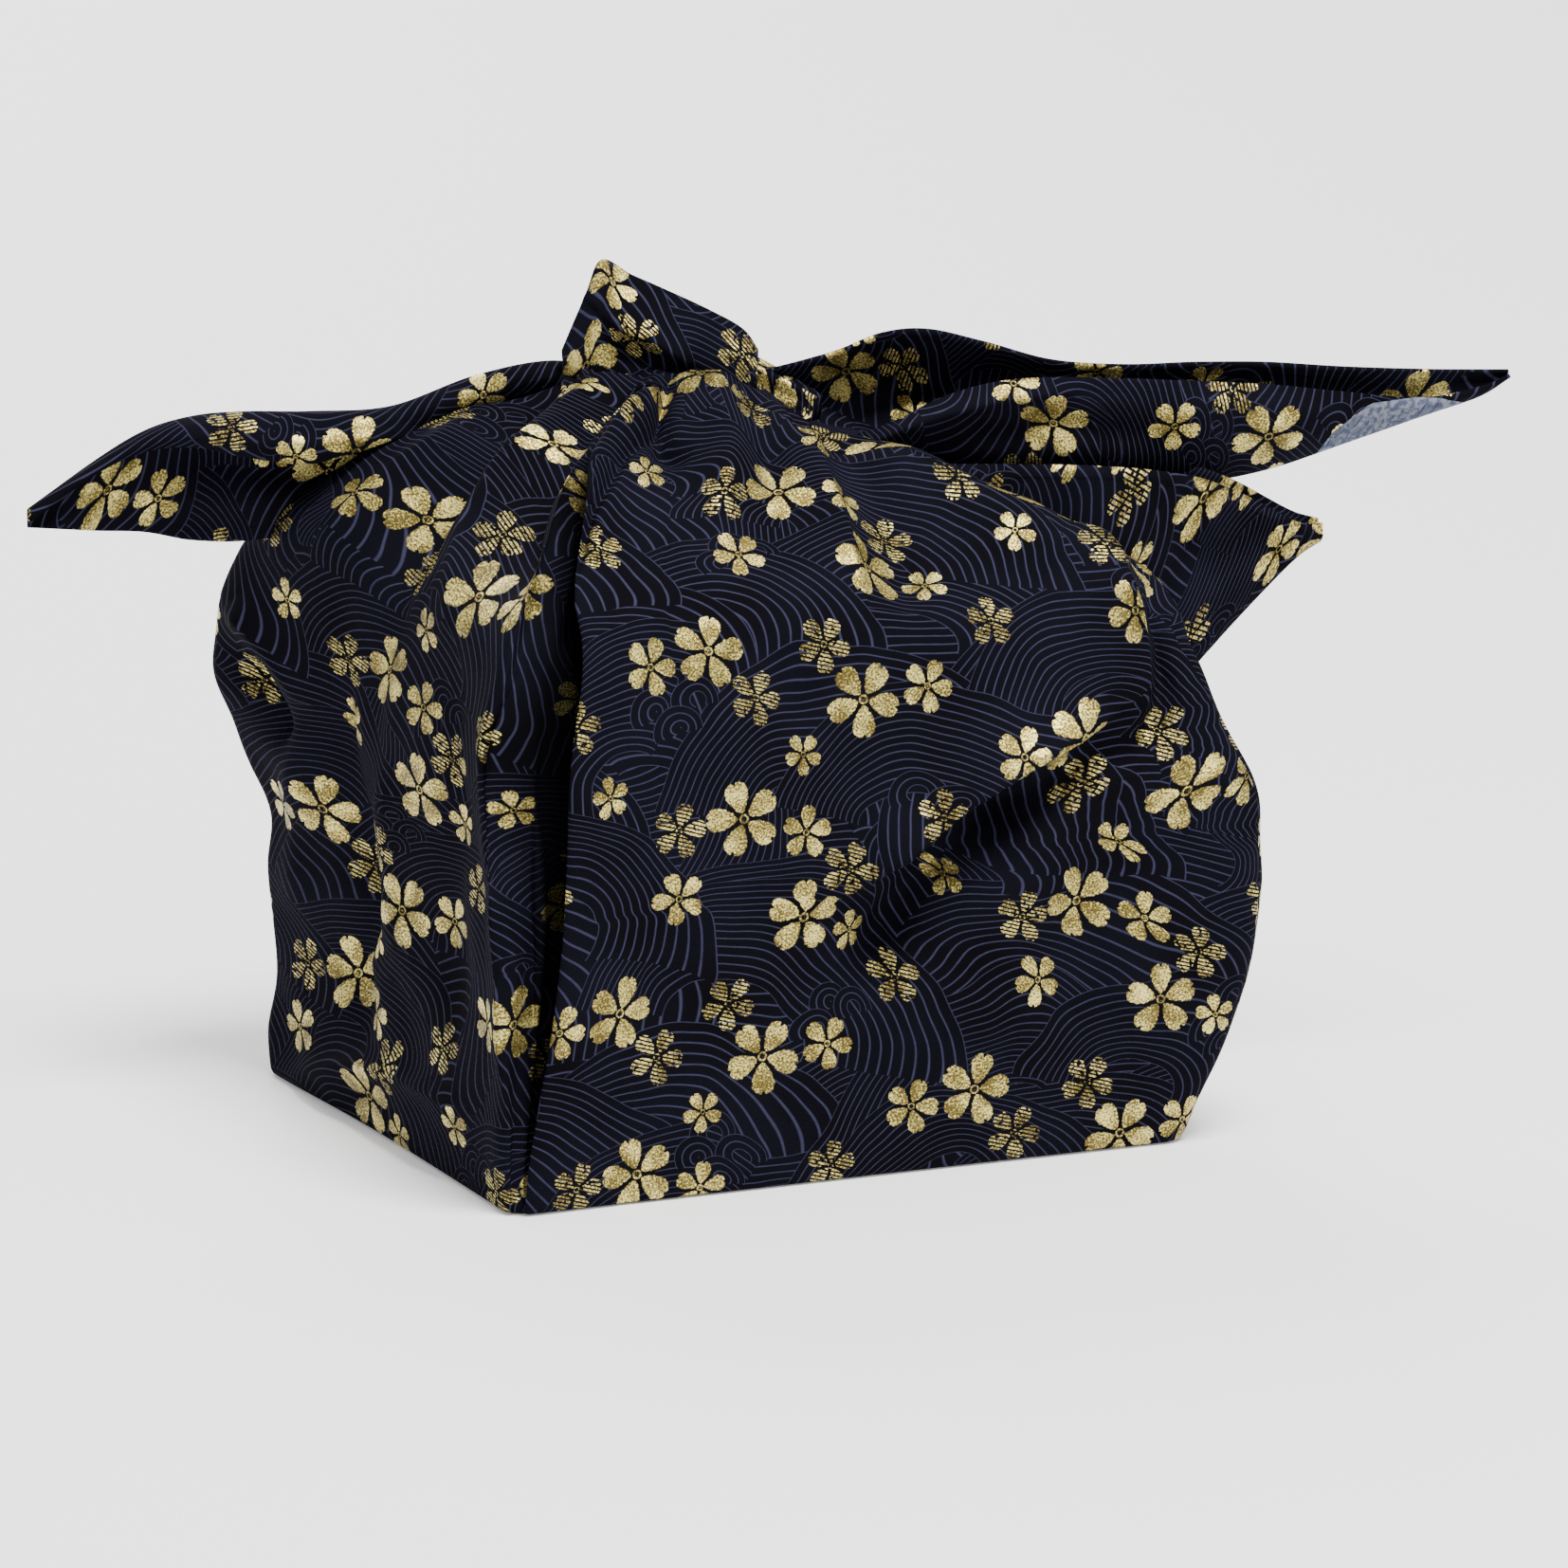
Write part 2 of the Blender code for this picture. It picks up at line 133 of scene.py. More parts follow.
# %% Sizes of the bundle
LEVEL_COLUMNS = (
    "height", "right", "left", "front", "back", "corner",
    "swell_right", "swell_left", "left_from", "lean", "pleat", "ridge", "edge",
)
LEVELS = (
    (0.0, 81.5, 81.5, 68.5, 68.8, 5.0, 1.5, 3.0, 0, 0, 0.08, -1.5, 4.0),
    (1.8, 82.8, 83.0, 70.0, 70.2, 6.0, 2.2, 3.2, 0, 0, 0.16, -1.5, 4.4),
    (12.0, 83.0, 83.6, 70.4, 70.6, 7.0, 6.4, 2.6, 0, 0, 0.40, -1.5, 5.8),
    (24.0, 83.2, 83.2, 70.4, 70.8, 8.0, 11.8, 2.0, 0, 0, 0.66, -1.5, 7.6),
    (37.0, 83.4, 82.4, 70.8, 70.6, 9.0, 16.4, 3.4, 0, 0, 0.86, -2.0, 9.0),
    (50.0, 83.4, 82.0, 71.2, 70.6, 10.0, 18.6, 5.6, 0, 0, 1.00, -2.0, 10.4),
    (62.0, 83.6, 82.0, 71.6, 71.0, 11.0, 20.4, 5.0, 0, 0, 1.00, -2.5, 11.6),
    (73.0, 83.4, 82.4, 71.8, 71.2, 11.0, 19.6, 9.2, 0, 0, 1.00, -5.0, 12.7),
    (84.0, 83.0, 83.0, 71.8, 71.6, 11.0, 17.8, 12.4, 0, 0, 1.00, -9.0, 13.9),
    (95.0, 82.6, 83.6, 71.6, 71.6, 10.0, 12.8, 15.8, 1, 5, 1.00, -11.0, 15.0),
    (105.0, 82.4, 83.4, 71.0, 71.4, 10.0, 8.4, 15.4, 4, 12, 1.00, -10.0, 16.0),
    (114.0, 82.0, 82.6, 70.0, 70.8, 10.0, 6.0, 14.6, 10, 22, 1.00, -7.0, 17.0),
    (122.0, 81.4, 81.6, 68.4, 69.6, 10.0, 4.6, 13.4, 16, 35, 1.00, -4.0, 17.8),
    (129.0, 79.0, 79.6, 65.4, 68.0, 11.0, 3.0, 13.4, 20, 50, 1.00, -2.0, 17.0),
    (136.0, 71.0, 73.6, 57.6, 61.4, 12.0, 1.4, 17.0, 22, 58, 1.00, -1.0, 12.5),
    (143.5, 58.5, 64.0, 48.0, 53.0, 12.0, 0.6, 21.0, 22, 60, 1.00, -2.4, 7.4),
    (151.0, 44.5, 54.0, 38.0, 43.0, 11.0, 0.0, 22.5, 18, 60, 1.00, -4.0, 3.6),
    (157.4, 29.0, 45.0, 29.0, 34.5, 10.0, 0.0, 21.5, 14, 60, 1.00, -6.0, 0.6),
    (160.8, 12.5, 39.0, 23.5, 29.5, 9.0, 0.0, 20.0, 11, 60, 1.00, -7.0, -1.0),
    (165.3, 8.0, 31.0, 18.0, 22.0, 8.0, 0.0, 17.0, 8, 60, 0.95, -6.4, -1.0),
    (168.7, 4.0, 26.0, 11.5, 16.0, 6.0, 0.0, 13.0, 5, 60, 0.80, -4.6, -0.6),
    (171.2, -3.0, 20.0, 5.5, 10.5, 4.0, 0.0, 8.0, 3, 60, 0.40, -1.0, 0.0),
    (172.5, -9.0, 15.0, 1.0, 6.0, 2.0, 0.0, 3.0, 0, 60, 0.10, 0.0, 0.0),
)
LEVEL_COUNT = 238
levels = table(LEVELS, LEVEL_COLUMNS, LEVEL_COUNT, upright=True)
print(LEVEL_COUNT, "levels,", round(float(levels["height"].max())), "mm high")

# %% [markdown]
# ## The pleat at the near corner
# On the real wrap the spare cloth at the near corner is laid into one deep pleat: from the left face it runs over
# a ridge, drops into a set-back panel, slips under the front face's cloth, and comes back out to that cloth's
# folded edge. A bump map can't make a layer that lies on another. So the pleat is real geometry, a curve that
# doubles back on itself, and every level carries it.

# %% Sizes of the pleat
# The columns are the share of the way from ridge to edge, the distance beyond it, and the height off the face.
PLEAT = (
    (0.0, -12.0, 0.2),
    (0.0, -5.0, 1.5),
    (0.0, -1.4, 2.5),
    (0.0, 0.8, 2.0),
    (0.0, 0.9, 0.0),
    (0.06, 0.2, -2.4),
    (0.3, 0.0, -4.0),
    (0.7, 0.0, -5.6),
    (1.0, 0.0, -8.6),
    (1.0, 7.0, -9.0),
    (1.0, 9.0, -5.6),
    (1.0, 7.0, -2.0),
    (1.0, 2.0, 0.2),
    (1.0, -0.5, 1.0),
    (1.0, -1.1, 2.0),
    (1.0, 0.4, 2.9),
    (1.0, 4.0, 2.9),
    (1.0, 10.0, 1.9),
    (1.0, 20.0, 0.5),
)
PLEAT_COLUMNS = 82
# The first of those threads, down to the deepest place, carry the left face's print, and the rest the front's.
DEEP_END = 45
pleat = table(PLEAT, ("share", "beyond", "out"), PLEAT_COLUMNS)
print("the pleat has", len(PLEAT), "places and", PLEAT_COLUMNS, "threads")

# %% [markdown]
# ## Where the cloth runs on each level
# Every column of the surface is a thread that climbs from the base to the knot. Its place on a level is the
# distance round the section from the near corner. The pleat's threads come first, then those of the front, right,
# back and left faces. Faces that the camera sees get more threads.

# %% Threads round the bundle
FACE_THREADS = (162, 36, 36, 96)
# The pleat is smaller where a side is shorter than this, and a face's first thread stands a little way off it.
FULL_PLEAT_SIDE = 80.0
THREAD_GAP = 1.2
CROWDING = 0.35
side_lengths = np.stack([levels["right"] + levels["left"], levels["front"] + levels["back"]] * 2)
side_ends = np.cumsum(side_lengths, axis=0)


def place_threads():
    """Distance round each section, height off it, and the face that each strip between two threads belongs to.

    Across a face, t less CROWDING sin(2 pi t) / (2 pi) sets the threads closer together near its corners.
    """
    shrink = np.minimum(1.0, side_lengths[0] / FULL_PLEAT_SIDE)
    along = levels["ridge"] + pleat["share"] * (levels["edge"] - levels["ridge"]) + pleat["beyond"] * shrink
    out = pleat["out"] * levels["pleat"] * shrink
    places, strips = [along], [3] * DEEP_END + [0] * (PLEAT_COLUMNS - DEEP_END)
    begin = along[:, -1:] + THREAD_GAP * shrink
    for face, count in enumerate(FACE_THREADS):
        end = side_ends[face] if face < 3 else side_ends[3] + along[:, :1] - THREAD_GAP * shrink
        t = np.linspace(0, 1, count, endpoint=face == 3)
        t = t - CROWDING * np.sin(2 * np.pi * t) / (2 * np.pi)
        places.append(begin + t * (end - begin))
        strips += [face] * count
        begin = end
    flat = np.zeros((LEVEL_COUNT, sum(FACE_THREADS)))
    return np.hstack(places), np.hstack([out, flat]), np.array(strips)


thread_place, thread_out, strip = place_threads()
half_way = np.stack([thread_place, thread_out])[:, LEVEL_COUNT // 2, :PLEAT_COLUMNS]
spare = np.hypot(*np.diff(half_way)).sum() - (half_way[0, -1] - half_way[0, 0])
print(thread_place.shape[1], "threads, and the pleat takes up", round(float(spare)), "mm of cloth at half height")

# %% [markdown]
# ## From distances to points
# A section is a rounded rectangle. On each side the thread's place is cut into a straight stretch and a part
# that turns through 45 degrees at each end, so two sides meet in a quarter circle. The swells then push the
# threads near the right and left corners outwards, as seen by the viewer, with a bell curve. High on the
# tent, the swell on the left is the full roll of cloth that lies in front of the left tail's root.

# %% Points of the bundle
SWELL_REACH = 42.0
SWELL_SHARE = 0.32


def around(place):
    """Point and outward direction on each level at the given distance round it from the near corner.

    A swell is its height times e to the power of minus (distance from its middle / reach) squared. The reach is
    SWELL_REACH, or SWELL_SHARE of the side where that is less.
    """
    place = np.mod(place, side_ends[3])
    face = (place >= side_ends[0]).astype(int) + (place >= side_ends[1]) + (place >= side_ends[2])
    side = np.take_along_axis(side_lengths.repeat(place.shape[1], 2), face[None], 0)[0]
    other = side_lengths[0] + side_lengths[1] - side
    middle = place - np.take_along_axis(side_ends.repeat(place.shape[1], 2), face[None], 0)[0] + side / 2
    corner = levels["corner"]
    past = np.clip((np.abs(middle) - side / 2 + corner) / corner, 0, 1)
    turn = np.sign(middle) * np.pi / 4 * past
    straight = np.clip(middle, corner - side / 2, side / 2 - corner)
    outward = np.array([(0, -1), (1, 0), (0, 1), (-1, 0)], float)[face]
    onward = np.array([(1, 0), (0, 1), (-1, 0), (0, -1)], float)[face]
    direction = np.cos(turn)[..., None] * outward + np.sin(turn)[..., None] * onward
    centre = np.stack([
        (levels["right"] - levels["left"]) / 2, (levels["back"] - levels["front"]) / 2
    ], -1)
    point = centre + outward * (other / 2 - corner)[..., None] + onward * straight[..., None]
    point = point + direction * corner[..., None]
    reach = np.minimum(SWELL_REACH, SWELL_SHARE * side_lengths[1])
    from_left = place - side_ends[2] - levels["left_from"]
    swell = levels["swell_right"] * np.exp(-(((place - side_ends[0]) / reach) ** 2))
    swell = swell - levels["swell_left"] * np.exp(-((from_left / reach) ** 2))
    return point + viewer()[0][:2] * swell[..., None], direction


def bundle_points():
    """The unfolded bundle and its outward directions. The pleat's height is added along those directions."""
    flat, direction = around(thread_place)
    lean = (np.radians(levels["lean"]) * np.ones_like(thread_place))[..., None]
    normals = np.concatenate([direction * np.cos(lean), np.sin(lean)], -1)
    height = levels["height"] * np.ones_like(thread_place)
    points = np.concatenate([flat, height[..., None]], -1)
    return points + normals * thread_out[..., None], normals


points, normals = bundle_points()
print("before its folds the bundle is", np.ptp(points, axis=(0, 1)).round(), "mm")

# %% [markdown]
# ## Folds laid on one by one
# Each fold is a stroke drawn on an upright plane that faces the viewer, as one would draw it on tracing cloth held
# before the wrap. Sculpt brushes would shape them too, but a table can be read, changed and run again. A stroke has
# two or more points, a width on its left side and on its right side, and a depth.

# %% Strokes
# The columns are the stroke's points (right, up), its width on the left and right of its way, its depth, and its
# sharpness: 2 is a round ridge or trough, and 1 a crease.
NEAR_FOLDS = (
    # The front face, from the knot down.
    (((17, 166), (20.6, 149), (25.6, 134), (31.2, 117)), 1.8, 7.0, 3.4, 1.3),
    (((24, 160), (30, 146), (38, 130), (44, 112)), 5.0, 6.0, -3.4, 2),
    (((-13, 168), (-15, 158), (-14.4, 150), (-8, 147)), 2.6, 3.4, -5.4, 1.6),
    (((-14, 167), (-20.5, 156), (-27, 147.5), (-34, 135.5), (-39, 122), (-45, 106)), 5.0, 2.0, 4.0, 1.5),
    (((-12, 164), (-17, 153), (-23.5, 146), (-30, 134.5), (-33.5, 120)), 1.2, 2.0, -4.0, 1.6),
    (((-4, 169), (0.6, 151), (-1.5, 132)), 5.0, 6.0, 4.0, 1.8),
    (((6, 168), (9, 152), (12, 138)), 4.0, 4.0, -2.6, 2),
    (((30, 150), (56, 141), (70, 131), (86, 120)), 6.0, 6.0, 2.6, 1.7),
    (((36, 138), (56, 128), (74, 116)), 6.0, 7.0, -2.4, 2),
    (((78, 132), (87, 123), (92, 112), (94, 101), (94.5, 88)), 2.4, 8.0, 5.6, 1.4),
    (((98, 122), (99.6, 104), (99, 90), (93, 82)), 5.0, 4.2, -6.4, 1.8),
    (((98, 84), (82, 79), (68, 70), (56, 60)), 4.0, 4.0, -3.4, 1.8),
    (((86, 89), (66, 78), (50, 67.5), (38, 58), (28, 50)), 1.6, 8.0, 9.4, 1.3),
    (((72, 74), (54, 62), (42, 47), (30, 28)), 6.0, 6.0, -8.0, 1.9),
    (((35, 51), (22, 34), (14, 26)), 8.0, 8.0, -2.2, 2),
    (((69, 68), (65, 45), (58, 14)), 12.0, 10.0, 3.4, 1.8),
    (((84, 74), (84, 50), (78, 24)), 7.0, 8.0, -3.0, 2),
    (((100, 67), (108, 73), (114, 77)), 3.0, 5.0, 2.4, 1.6),
    (((106, 50), (96, 36), (88, 20)), 6.0, 6.0, 2.0, 1.8),
    (((-20, 120), (4, 100), (10, 70)), 12.0, 12.0, 1.4, 2),
    (((-6, 108), (16, 92), (30, 70)), 8.0, 8.0, -1.8, 2),
    (((-26, 60), (-14, 30), (8, 12)), 9.0, 9.0, -1.4, 2),
    # The left face and its side of the tent.
    (((-45, 100), (-48.4, 88), (-50, 73), (-50, 45), (-49.6, 22), (-48, 0)), 2.6, 1.6, 4.2, 1.2),
    (((-44, 76), (-44.4, 45), (-44, 22), (-43, 4)), 2.0, 3.2, -3.0, 1.4),
    (((-62, 104), (-62, 80), (-63, 46), (-61, 16)), 4.0, 4.0, -3.4, 2),
    (((-87.5, 102), (-90, 84), (-85, 64), (-82.5, 48), (-86, 33), (-83, 14)), 4.0, 4.4, -6.0, 1.8),
    (((-74, 96), (-76, 66), (-74, 34)), 4.0, 4.0, 3.0, 1.7),
    (((-97, 92), (-98, 70), (-96, 44)), 4.0, 4.0, 2.4, 1.8),
    (((-106, 3), (-94.8, 8), (-83.5, 10), (-73, 8), (-60, 2)), 3.0, 4.4, 4.0, 1.5),
    (((-113, 114), (-101, 101), (-91.6, 90)), 4.0, 3.0, 4.2, 1.5),
    (((-112, 103), (-106, 94), (-100, 84)), 3.0, 3.4, -5.4, 1.8),
    (((-14, 166), (-30, 158), (-46, 146), (-58, 134)), 7.0, 2.4, 3.6, 1.3),
    (((-18, 168), (-31.9, 153), (-41.7, 138), (-46, 118)), 3.0, 3.6, -6.0, 1.5),
    (((-24, 168), (-44.9, 148), (-57.9, 129), (-63, 106)), 3.4, 4.2, 4.8, 1.3),
    (((-38, 162), (-62.3, 139), (-75.3, 118), (-80, 98)), 5.0, 5.0, -5.0, 1.8),
    (((-50, 159), (-73, 144.5), (-96, 122)), 3.6, 4.4, 3.6, 1.4),
    (((-29, 146), (-36, 128), (-38, 108)), 2.6, 4.4, 3.2, 1.5),
)
FAR_FOLDS = (
    (((12, 168), (6, 150), (-12, 128), (-22, 108)), 6.0, 6.0, -4.6, 1.8),
    (((18, 166), (24, 146), (32, 126), (30, 100)), 5.0, 3.0, 4.4, 1.4),
    (((24, 162), (42, 146), (60, 128), (66, 100)), 6.0, 6.0, -4.6, 1.8),
    (((4, 166), (-16, 152), (-40, 136), (-58, 124)), 6.0, 2.0, 4.0, 1.3),
    (((-58, 122), (-76, 100), (-84, 70), (-80, 40)), 8.0, 8.0, -4.8, 2),
    (((64, 116), (80, 96), (88, 60)), 8.0, 3.0, 4.4, 1.5),
    (((62, 100), (70, 72), (76, 44)), 7.0, 7.0, -4.6, 2),
    (((-20, 90), (6, 80), (36, 72), (52, 60)), 2.0, 8.0, 4.6, 1.4),
    (((0, 72), (24, 60), (34, 40)), 8.0, 8.0, -3.8, 2),
    (((-34, 64), (-20, 40), (-8, 16)), 9.0, 7.0, 3.0, 1.7),
    (((-70, 60), (-56, 30), (-48, 10)), 8.0, 8.0, -2.8, 2),
)
print(len(NEAR_FOLDS), "folds on the near side and", len(FAR_FOLDS), "on the far side")

# %% [markdown]
# ## Laying a stroke on the cloth
# Every point of the cloth is measured to the nearest stretch of the stroke, as the viewer sees them. One narrow and
# one wide side make a fold that hangs over. Equal sides make a plain trough or ridge. The height fades at the
# stroke's ends, so no fold starts with a step, and near the floor, so the base stays flat.

# %% Heights of the strokes
FADE_RATE, FADE_START, FADE_POWER = 5.0, 0.15, 0.7
FACING_GAIN = 2.5
BASE_FLAT, BASE_FADE = 1.0, 10.0


def stroke_height(x, z, stroke):
    """The depth times exp(-(distance / width) to the power of the sharpness), times the fade at both ends."""
    ends, left_width, right_width, depth, sharp = stroke
    best = np.full(x.shape, np.inf)
    signed = np.zeros(x.shape)
    gone = np.zeros(x.shape)
    ends = np.array(ends, float)
    lengths = np.hypot(*np.diff(ends, axis=0).T)
    before = np.concatenate([[0], np.cumsum(lengths)]) / lengths.sum()
    for (x1, z1), (x2, z2), length, share in zip(ends, ends[1:], lengths, before):
        dx, dz = (x2 - x1) / length, (z2 - z1) / length
        t = np.clip((x - x1) * dx + (z - z1) * dz, 0, length)
        away = np.hypot(x - x1 - t * dx, z - z1 - t * dz)
        side = dx * (z - z1) - dz * (x - x1)
        near = away < best
        best = np.where(near, away, best)
        signed = np.where(near, np.sign(side) * away, signed)
        gone = np.where(near, share + t / lengths.sum(), gone)
    width = np.where(signed > 0, left_width, right_width)
    fade = np.clip(np.minimum(gone, 1 - gone) * FADE_RATE + FADE_START, 0, 1)
    return depth * fade**FADE_POWER * np.exp(-((best / width) ** sharp))


def above_base(points):
    """0 up to BASE_FLAT above the floor, then rising evenly to 1 over BASE_FADE."""
    return np.clip((points[..., 2] - BASE_FLAT) / BASE_FADE, 0, 1)


def fold(points, normals, strokes, side=1, facing=None):
    """Adds up the strokes' heights along the normals, on the cloth that faces that side's viewer."""
    right, up, forward = viewer(side)
    x, z = points @ right, points @ up
    if facing is None:
        facing = np.clip(-(normals @ forward) * FACING_GAIN, 0, 1) * above_base(points)
    height = sum(stroke_height(x, z, stroke) for stroke in strokes)
    return points + normals * (facing * height)[..., None]


weight = above_base(points)
points = fold(points, normals, NEAR_FOLDS)
points = fold(points, normals, FAR_FOLDS, side=-1)
print("with its folds the bundle is", np.ptp(points, axis=(0, 1)).round(), "mm")

# %% [markdown]
# ## Small unevenness
# Cotton that has been handled is never quite smooth. A Displace modifier could roughen it with a texture. A few long
# waves at odd angles, each a sine of the position, are enough: they move the cloth by about half a millimetre, and
# the same few serve every piece.

# %% Handled cloth
# The columns are the number of waves in 100 mm along x, y and z, and the height in millimetres.
WAVES = (
    (1.7, 2.1, 1.3, 0.34), (-2.3, 1.1, 2.6, 0.28), (3.1, -2.4, 1.9, 0.22),
    (0.9, 3.6, -3.3, 0.18), (5.2, 2.2, -2.8, 0.11), (-4.4, 3.9, 4.1, 0.09),
)
WAVE_START = 1.7


def handle(points, normals, amount=1.0):
    """Moves each point along its normal by the sum of the waves. Each starts WAVE_START radians after the last."""
    height = sum(
        tall * np.sin(2 * np.pi / 100 * (points @ np.array(count)) + WAVE_START * k)
        for k, (*count, tall) in enumerate(WAVES)
    )
    return points + normals * (height * amount)[..., None]


smooth = points
points = handle(points, normals, weight)
print("the waves move the cloth by up to", round(float(np.linalg.norm(points - smooth, axis=-1).max()), 1), "mm")

# %% [markdown]
# ## From a grid of points to a piece
# Each surface so far is a grid: levels up, threads across. One helper turns such a grid into a mesh in a few array
# steps, gives each corner of each face its place in the print, and stores what the material needs to know about
# the cloth, such as how near the hem is. Faces are listed so that they point outwards.

# %% Make a mesh
PRINT_UNIT = 100.0


def quad_corners(grid):
    """The four corners of every quad between neighbours on a grid, one after the other."""
    return np.stack([grid[:-1, :-1], grid[:-1, 1:], grid[1:, 1:], grid[1:, :-1]], 2)


def make_piece(name, points, print_corners, facts=None, closed=False, caps=False):
    """Quads between neighbours on the grid. A closed grid also joins its last column to its first."""
    rows, columns = points.shape[:2]
    number = np.arange(rows * columns).reshape(rows, columns)
    if closed:
        number = np.hstack([number, number[:, :1]])
    quads = quad_corners(number).reshape(-1, 4)
    verts = points.reshape(-1, 3)
    faces = quads.tolist()
    if caps:
        low, high = len(verts), len(verts) + 1
        verts = np.vstack([verts, points[0].mean(0), points[-1].mean(0)])
        ring = np.arange(columns)
        after = np.roll(ring, -1)
        top = (rows - 1) * columns
        faces += np.stack([after, ring, np.full(columns, low)], -1).tolist()
        faces += np.stack([top + ring, top + after, np.full(columns, high)], -1).tolist()
    mesh = bpy.data.meshes.new(name)
    mesh.from_pydata((verts * MM).tolist(), [], faces)
    flat = np.zeros((len(mesh.loops), 2))
    flat[: quads.size] = print_corners.reshape(-1, 2) / PRINT_UNIT
    if caps:
        ends = np.concatenate(faces[len(quads) :])
        flat[quads.size :] = verts[ends][:, :2] / PRINT_UNIT
    mesh.uv_layers.new(name="print").data.foreach_set("uv", flat.ravel())
    for fact, values in (facts or {}).items():
        whole = np.concatenate([values.ravel(), np.zeros(len(verts) - values.size)])
        mesh.attributes.new(fact, "FLOAT", "POINT").data.foreach_set("value", whole)
    mesh.polygons.foreach_set("use_smooth", [True] * len(mesh.polygons))
    mesh.validate()
    piece = bpy.data.objects.new(name, mesh)
    bpy.context.scene.collection.objects.link(piece)
    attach(piece, "root")
    print(name, len(mesh.polygons), "faces")
    return piece


print("a grid of 3 by 3 points has", quad_corners(np.zeros((3, 3))).shape[:2], "quads")

# %% [markdown]
# ## Where the print lies on the bundle
# The print belongs to the flat cloth, so it has to go round the folds with the cloth. Blender's own unwrap would cut
# it up. We lay it down by the real distance round each level, pleat and folds included, measured from the upright
# middle line of each face, and by the slant height up that face. The left face's cloth is pulled across the weave,
# which widens its flowers a little, so its distances count for less. On the tent the four faces narrow and the print
# meets at the ridges, as it does where real cloth is gathered.

# %% Print on the bundle
FACES = ("front", "right", "back", "left")
FACE_MIDDLE = (0.0, 153.0, 306.5, 460.0)
LEFT_STRETCH = 0.78
# The share of a swell that counts in the slant height of its face.
SWELL_SLANT = 0.8
# The pleat's cloth is painted in shade from this far behind the face, and wholly so this much further in.
SHADOW_FROM, SHADOW_OVER = 2.6, 3.4


def run_across(points):
    """Distance along each row of points from its first one."""
    steps = np.diff(points, axis=1, prepend=points[:, :1])
    return np.cumsum(np.linalg.norm(steps, axis=-1), axis=1)


def bundle_print(points):
    """Corner places of every quad: across by distance round the level, up by slant height of that quad's face."""
    run = run_across(np.concatenate([points, points[:, :1]], 1))
    whole = np.hstack([thread_place, thread_place[:, :1] + side_ends[3]])
    swells = {"right": levels["swell_right"], "left": levels["swell_left"]}
    sides = []
    for face, name in enumerate(FACES):
        middle = (0 if face == 0 else side_ends[face - 1]) + levels[FACES[face - 1]]
        at = (whole[:, PLEAT_COLUMNS:] <= middle).sum(1)[:, None] + PLEAT_COLUMNS - 1
        low, high = np.take_along_axis(whole, at, 1), np.take_along_axis(whole, at + 1, 1)
        t = (middle - low) / (high - low)
        from_middle = run - (1 - t) * np.take_along_axis(run, at, 1) - t * np.take_along_axis(run, at + 1, 1)
        across = FACE_MIDDLE[face] + from_middle * (LEFT_STRETCH if name == "left" else 1.0)
        if name == "left":
            across[:, :PLEAT_COLUMNS] = across[:, -1:] + run[:, :PLEAT_COLUMNS] * LEFT_STRETCH
        outwards = levels[name] + SWELL_SLANT * swells.get(name, 0)
        rise = np.hypot(np.diff(levels["height"], axis=0), np.diff(outwards, axis=0))
        up = np.vstack([[0], np.cumsum(rise, axis=0)]) * np.ones_like(whole)
        sides.append(np.stack([across, up], -1))
    sides, column = np.stack(sides), np.arange(len(strip))
    left, right = (np.moveaxis(sides[strip, :, column + step], 0, 1) for step in (0, 1))
    return np.stack([left[:-1], right[:-1], right[1:], left[1:]], 2)


# How much painted shade the pleat's deep cloth gets.
pleat_shade = np.clip((-thread_out - SHADOW_FROM) / SHADOW_OVER, 0, 1)
bundle = make_piece("wrapped_bundle", points, bundle_print(points), {"pleat_shade": pleat_shade}, closed=True, caps=True)
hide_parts("wrap")

# %% [markdown]
# ## Tails folded lengthwise
# Each free corner of the cloth is folded along its length and reaches out from the knot. Seen from its end it is a
# narrow U or an upside-down U. A flat sheet could be folded by a cloth simulation, but it would seldom land where the
# photograph has it. Here a table gives the folded edge, the two free edges and the gap between them at several
# distances from the knot, and a fixed chart says where the cloth runs between those three.

# %% Folded sheets
RISE_SLOPE = 0.25
TAIL_COLUMNS = ("reach", "fold", "front", "back", "spread")
# The columns are the place across as a share of the gap, then the shares of the fold's, back's and front's heights.
FOLD_CHART = (
    (-0.5, 0.0, 1.0, 0.0), (-0.52, 0.4, 0.6, 0.0), (-0.36, 0.78, 0.22, 0.0), (0.0, 1.0, 0.0, 0.0),
    (0.36, 0.76, 0.0, 0.24), (0.5, 0.38, 0.0, 0.62), (0.42, 0.0, 0.0, 1.0),
)


def folded_sheet(rows, start, end, bow, curl=0.0, along=170, across=61):
    """Points of a folded sheet: the chart's shares times the table's heights, bent sideways by a half sine wave.

    curl moves the far free edge towards the near one, as a share of the gap, and fades with a sixth power.
    """
    start, end = np.array(start), np.array(end)
    length = np.linalg.norm(end - start)
    onward = (end - start) / length
    toward = np.array([onward[1], -onward[0]])
    toward = toward if toward[1] < 0 else -toward
    size = table(rows, TAIL_COLUMNS, along, upright=True)
    chart = table(FOLD_CHART, ("out", "fold", "back", "front"), across)
    chart["out"] = chart["out"] + curl * np.linspace(1, 0, across) ** 6
    sideways = size["spread"] * chart["out"] + bow * np.sin(np.pi * np.clip(size["reach"] / length, 0, 1))
    height = sum(size[edge] * chart[edge] for edge in ("fold", "back", "front")) + RISE_SLOPE * sideways
    flat = start + onward * size["reach"][..., None] + toward * sideways[..., None]
    return np.concatenate([flat, height[..., None]], -1)


print("a folded sheet runs over", len(FOLD_CHART), "places from one free edge to the other")

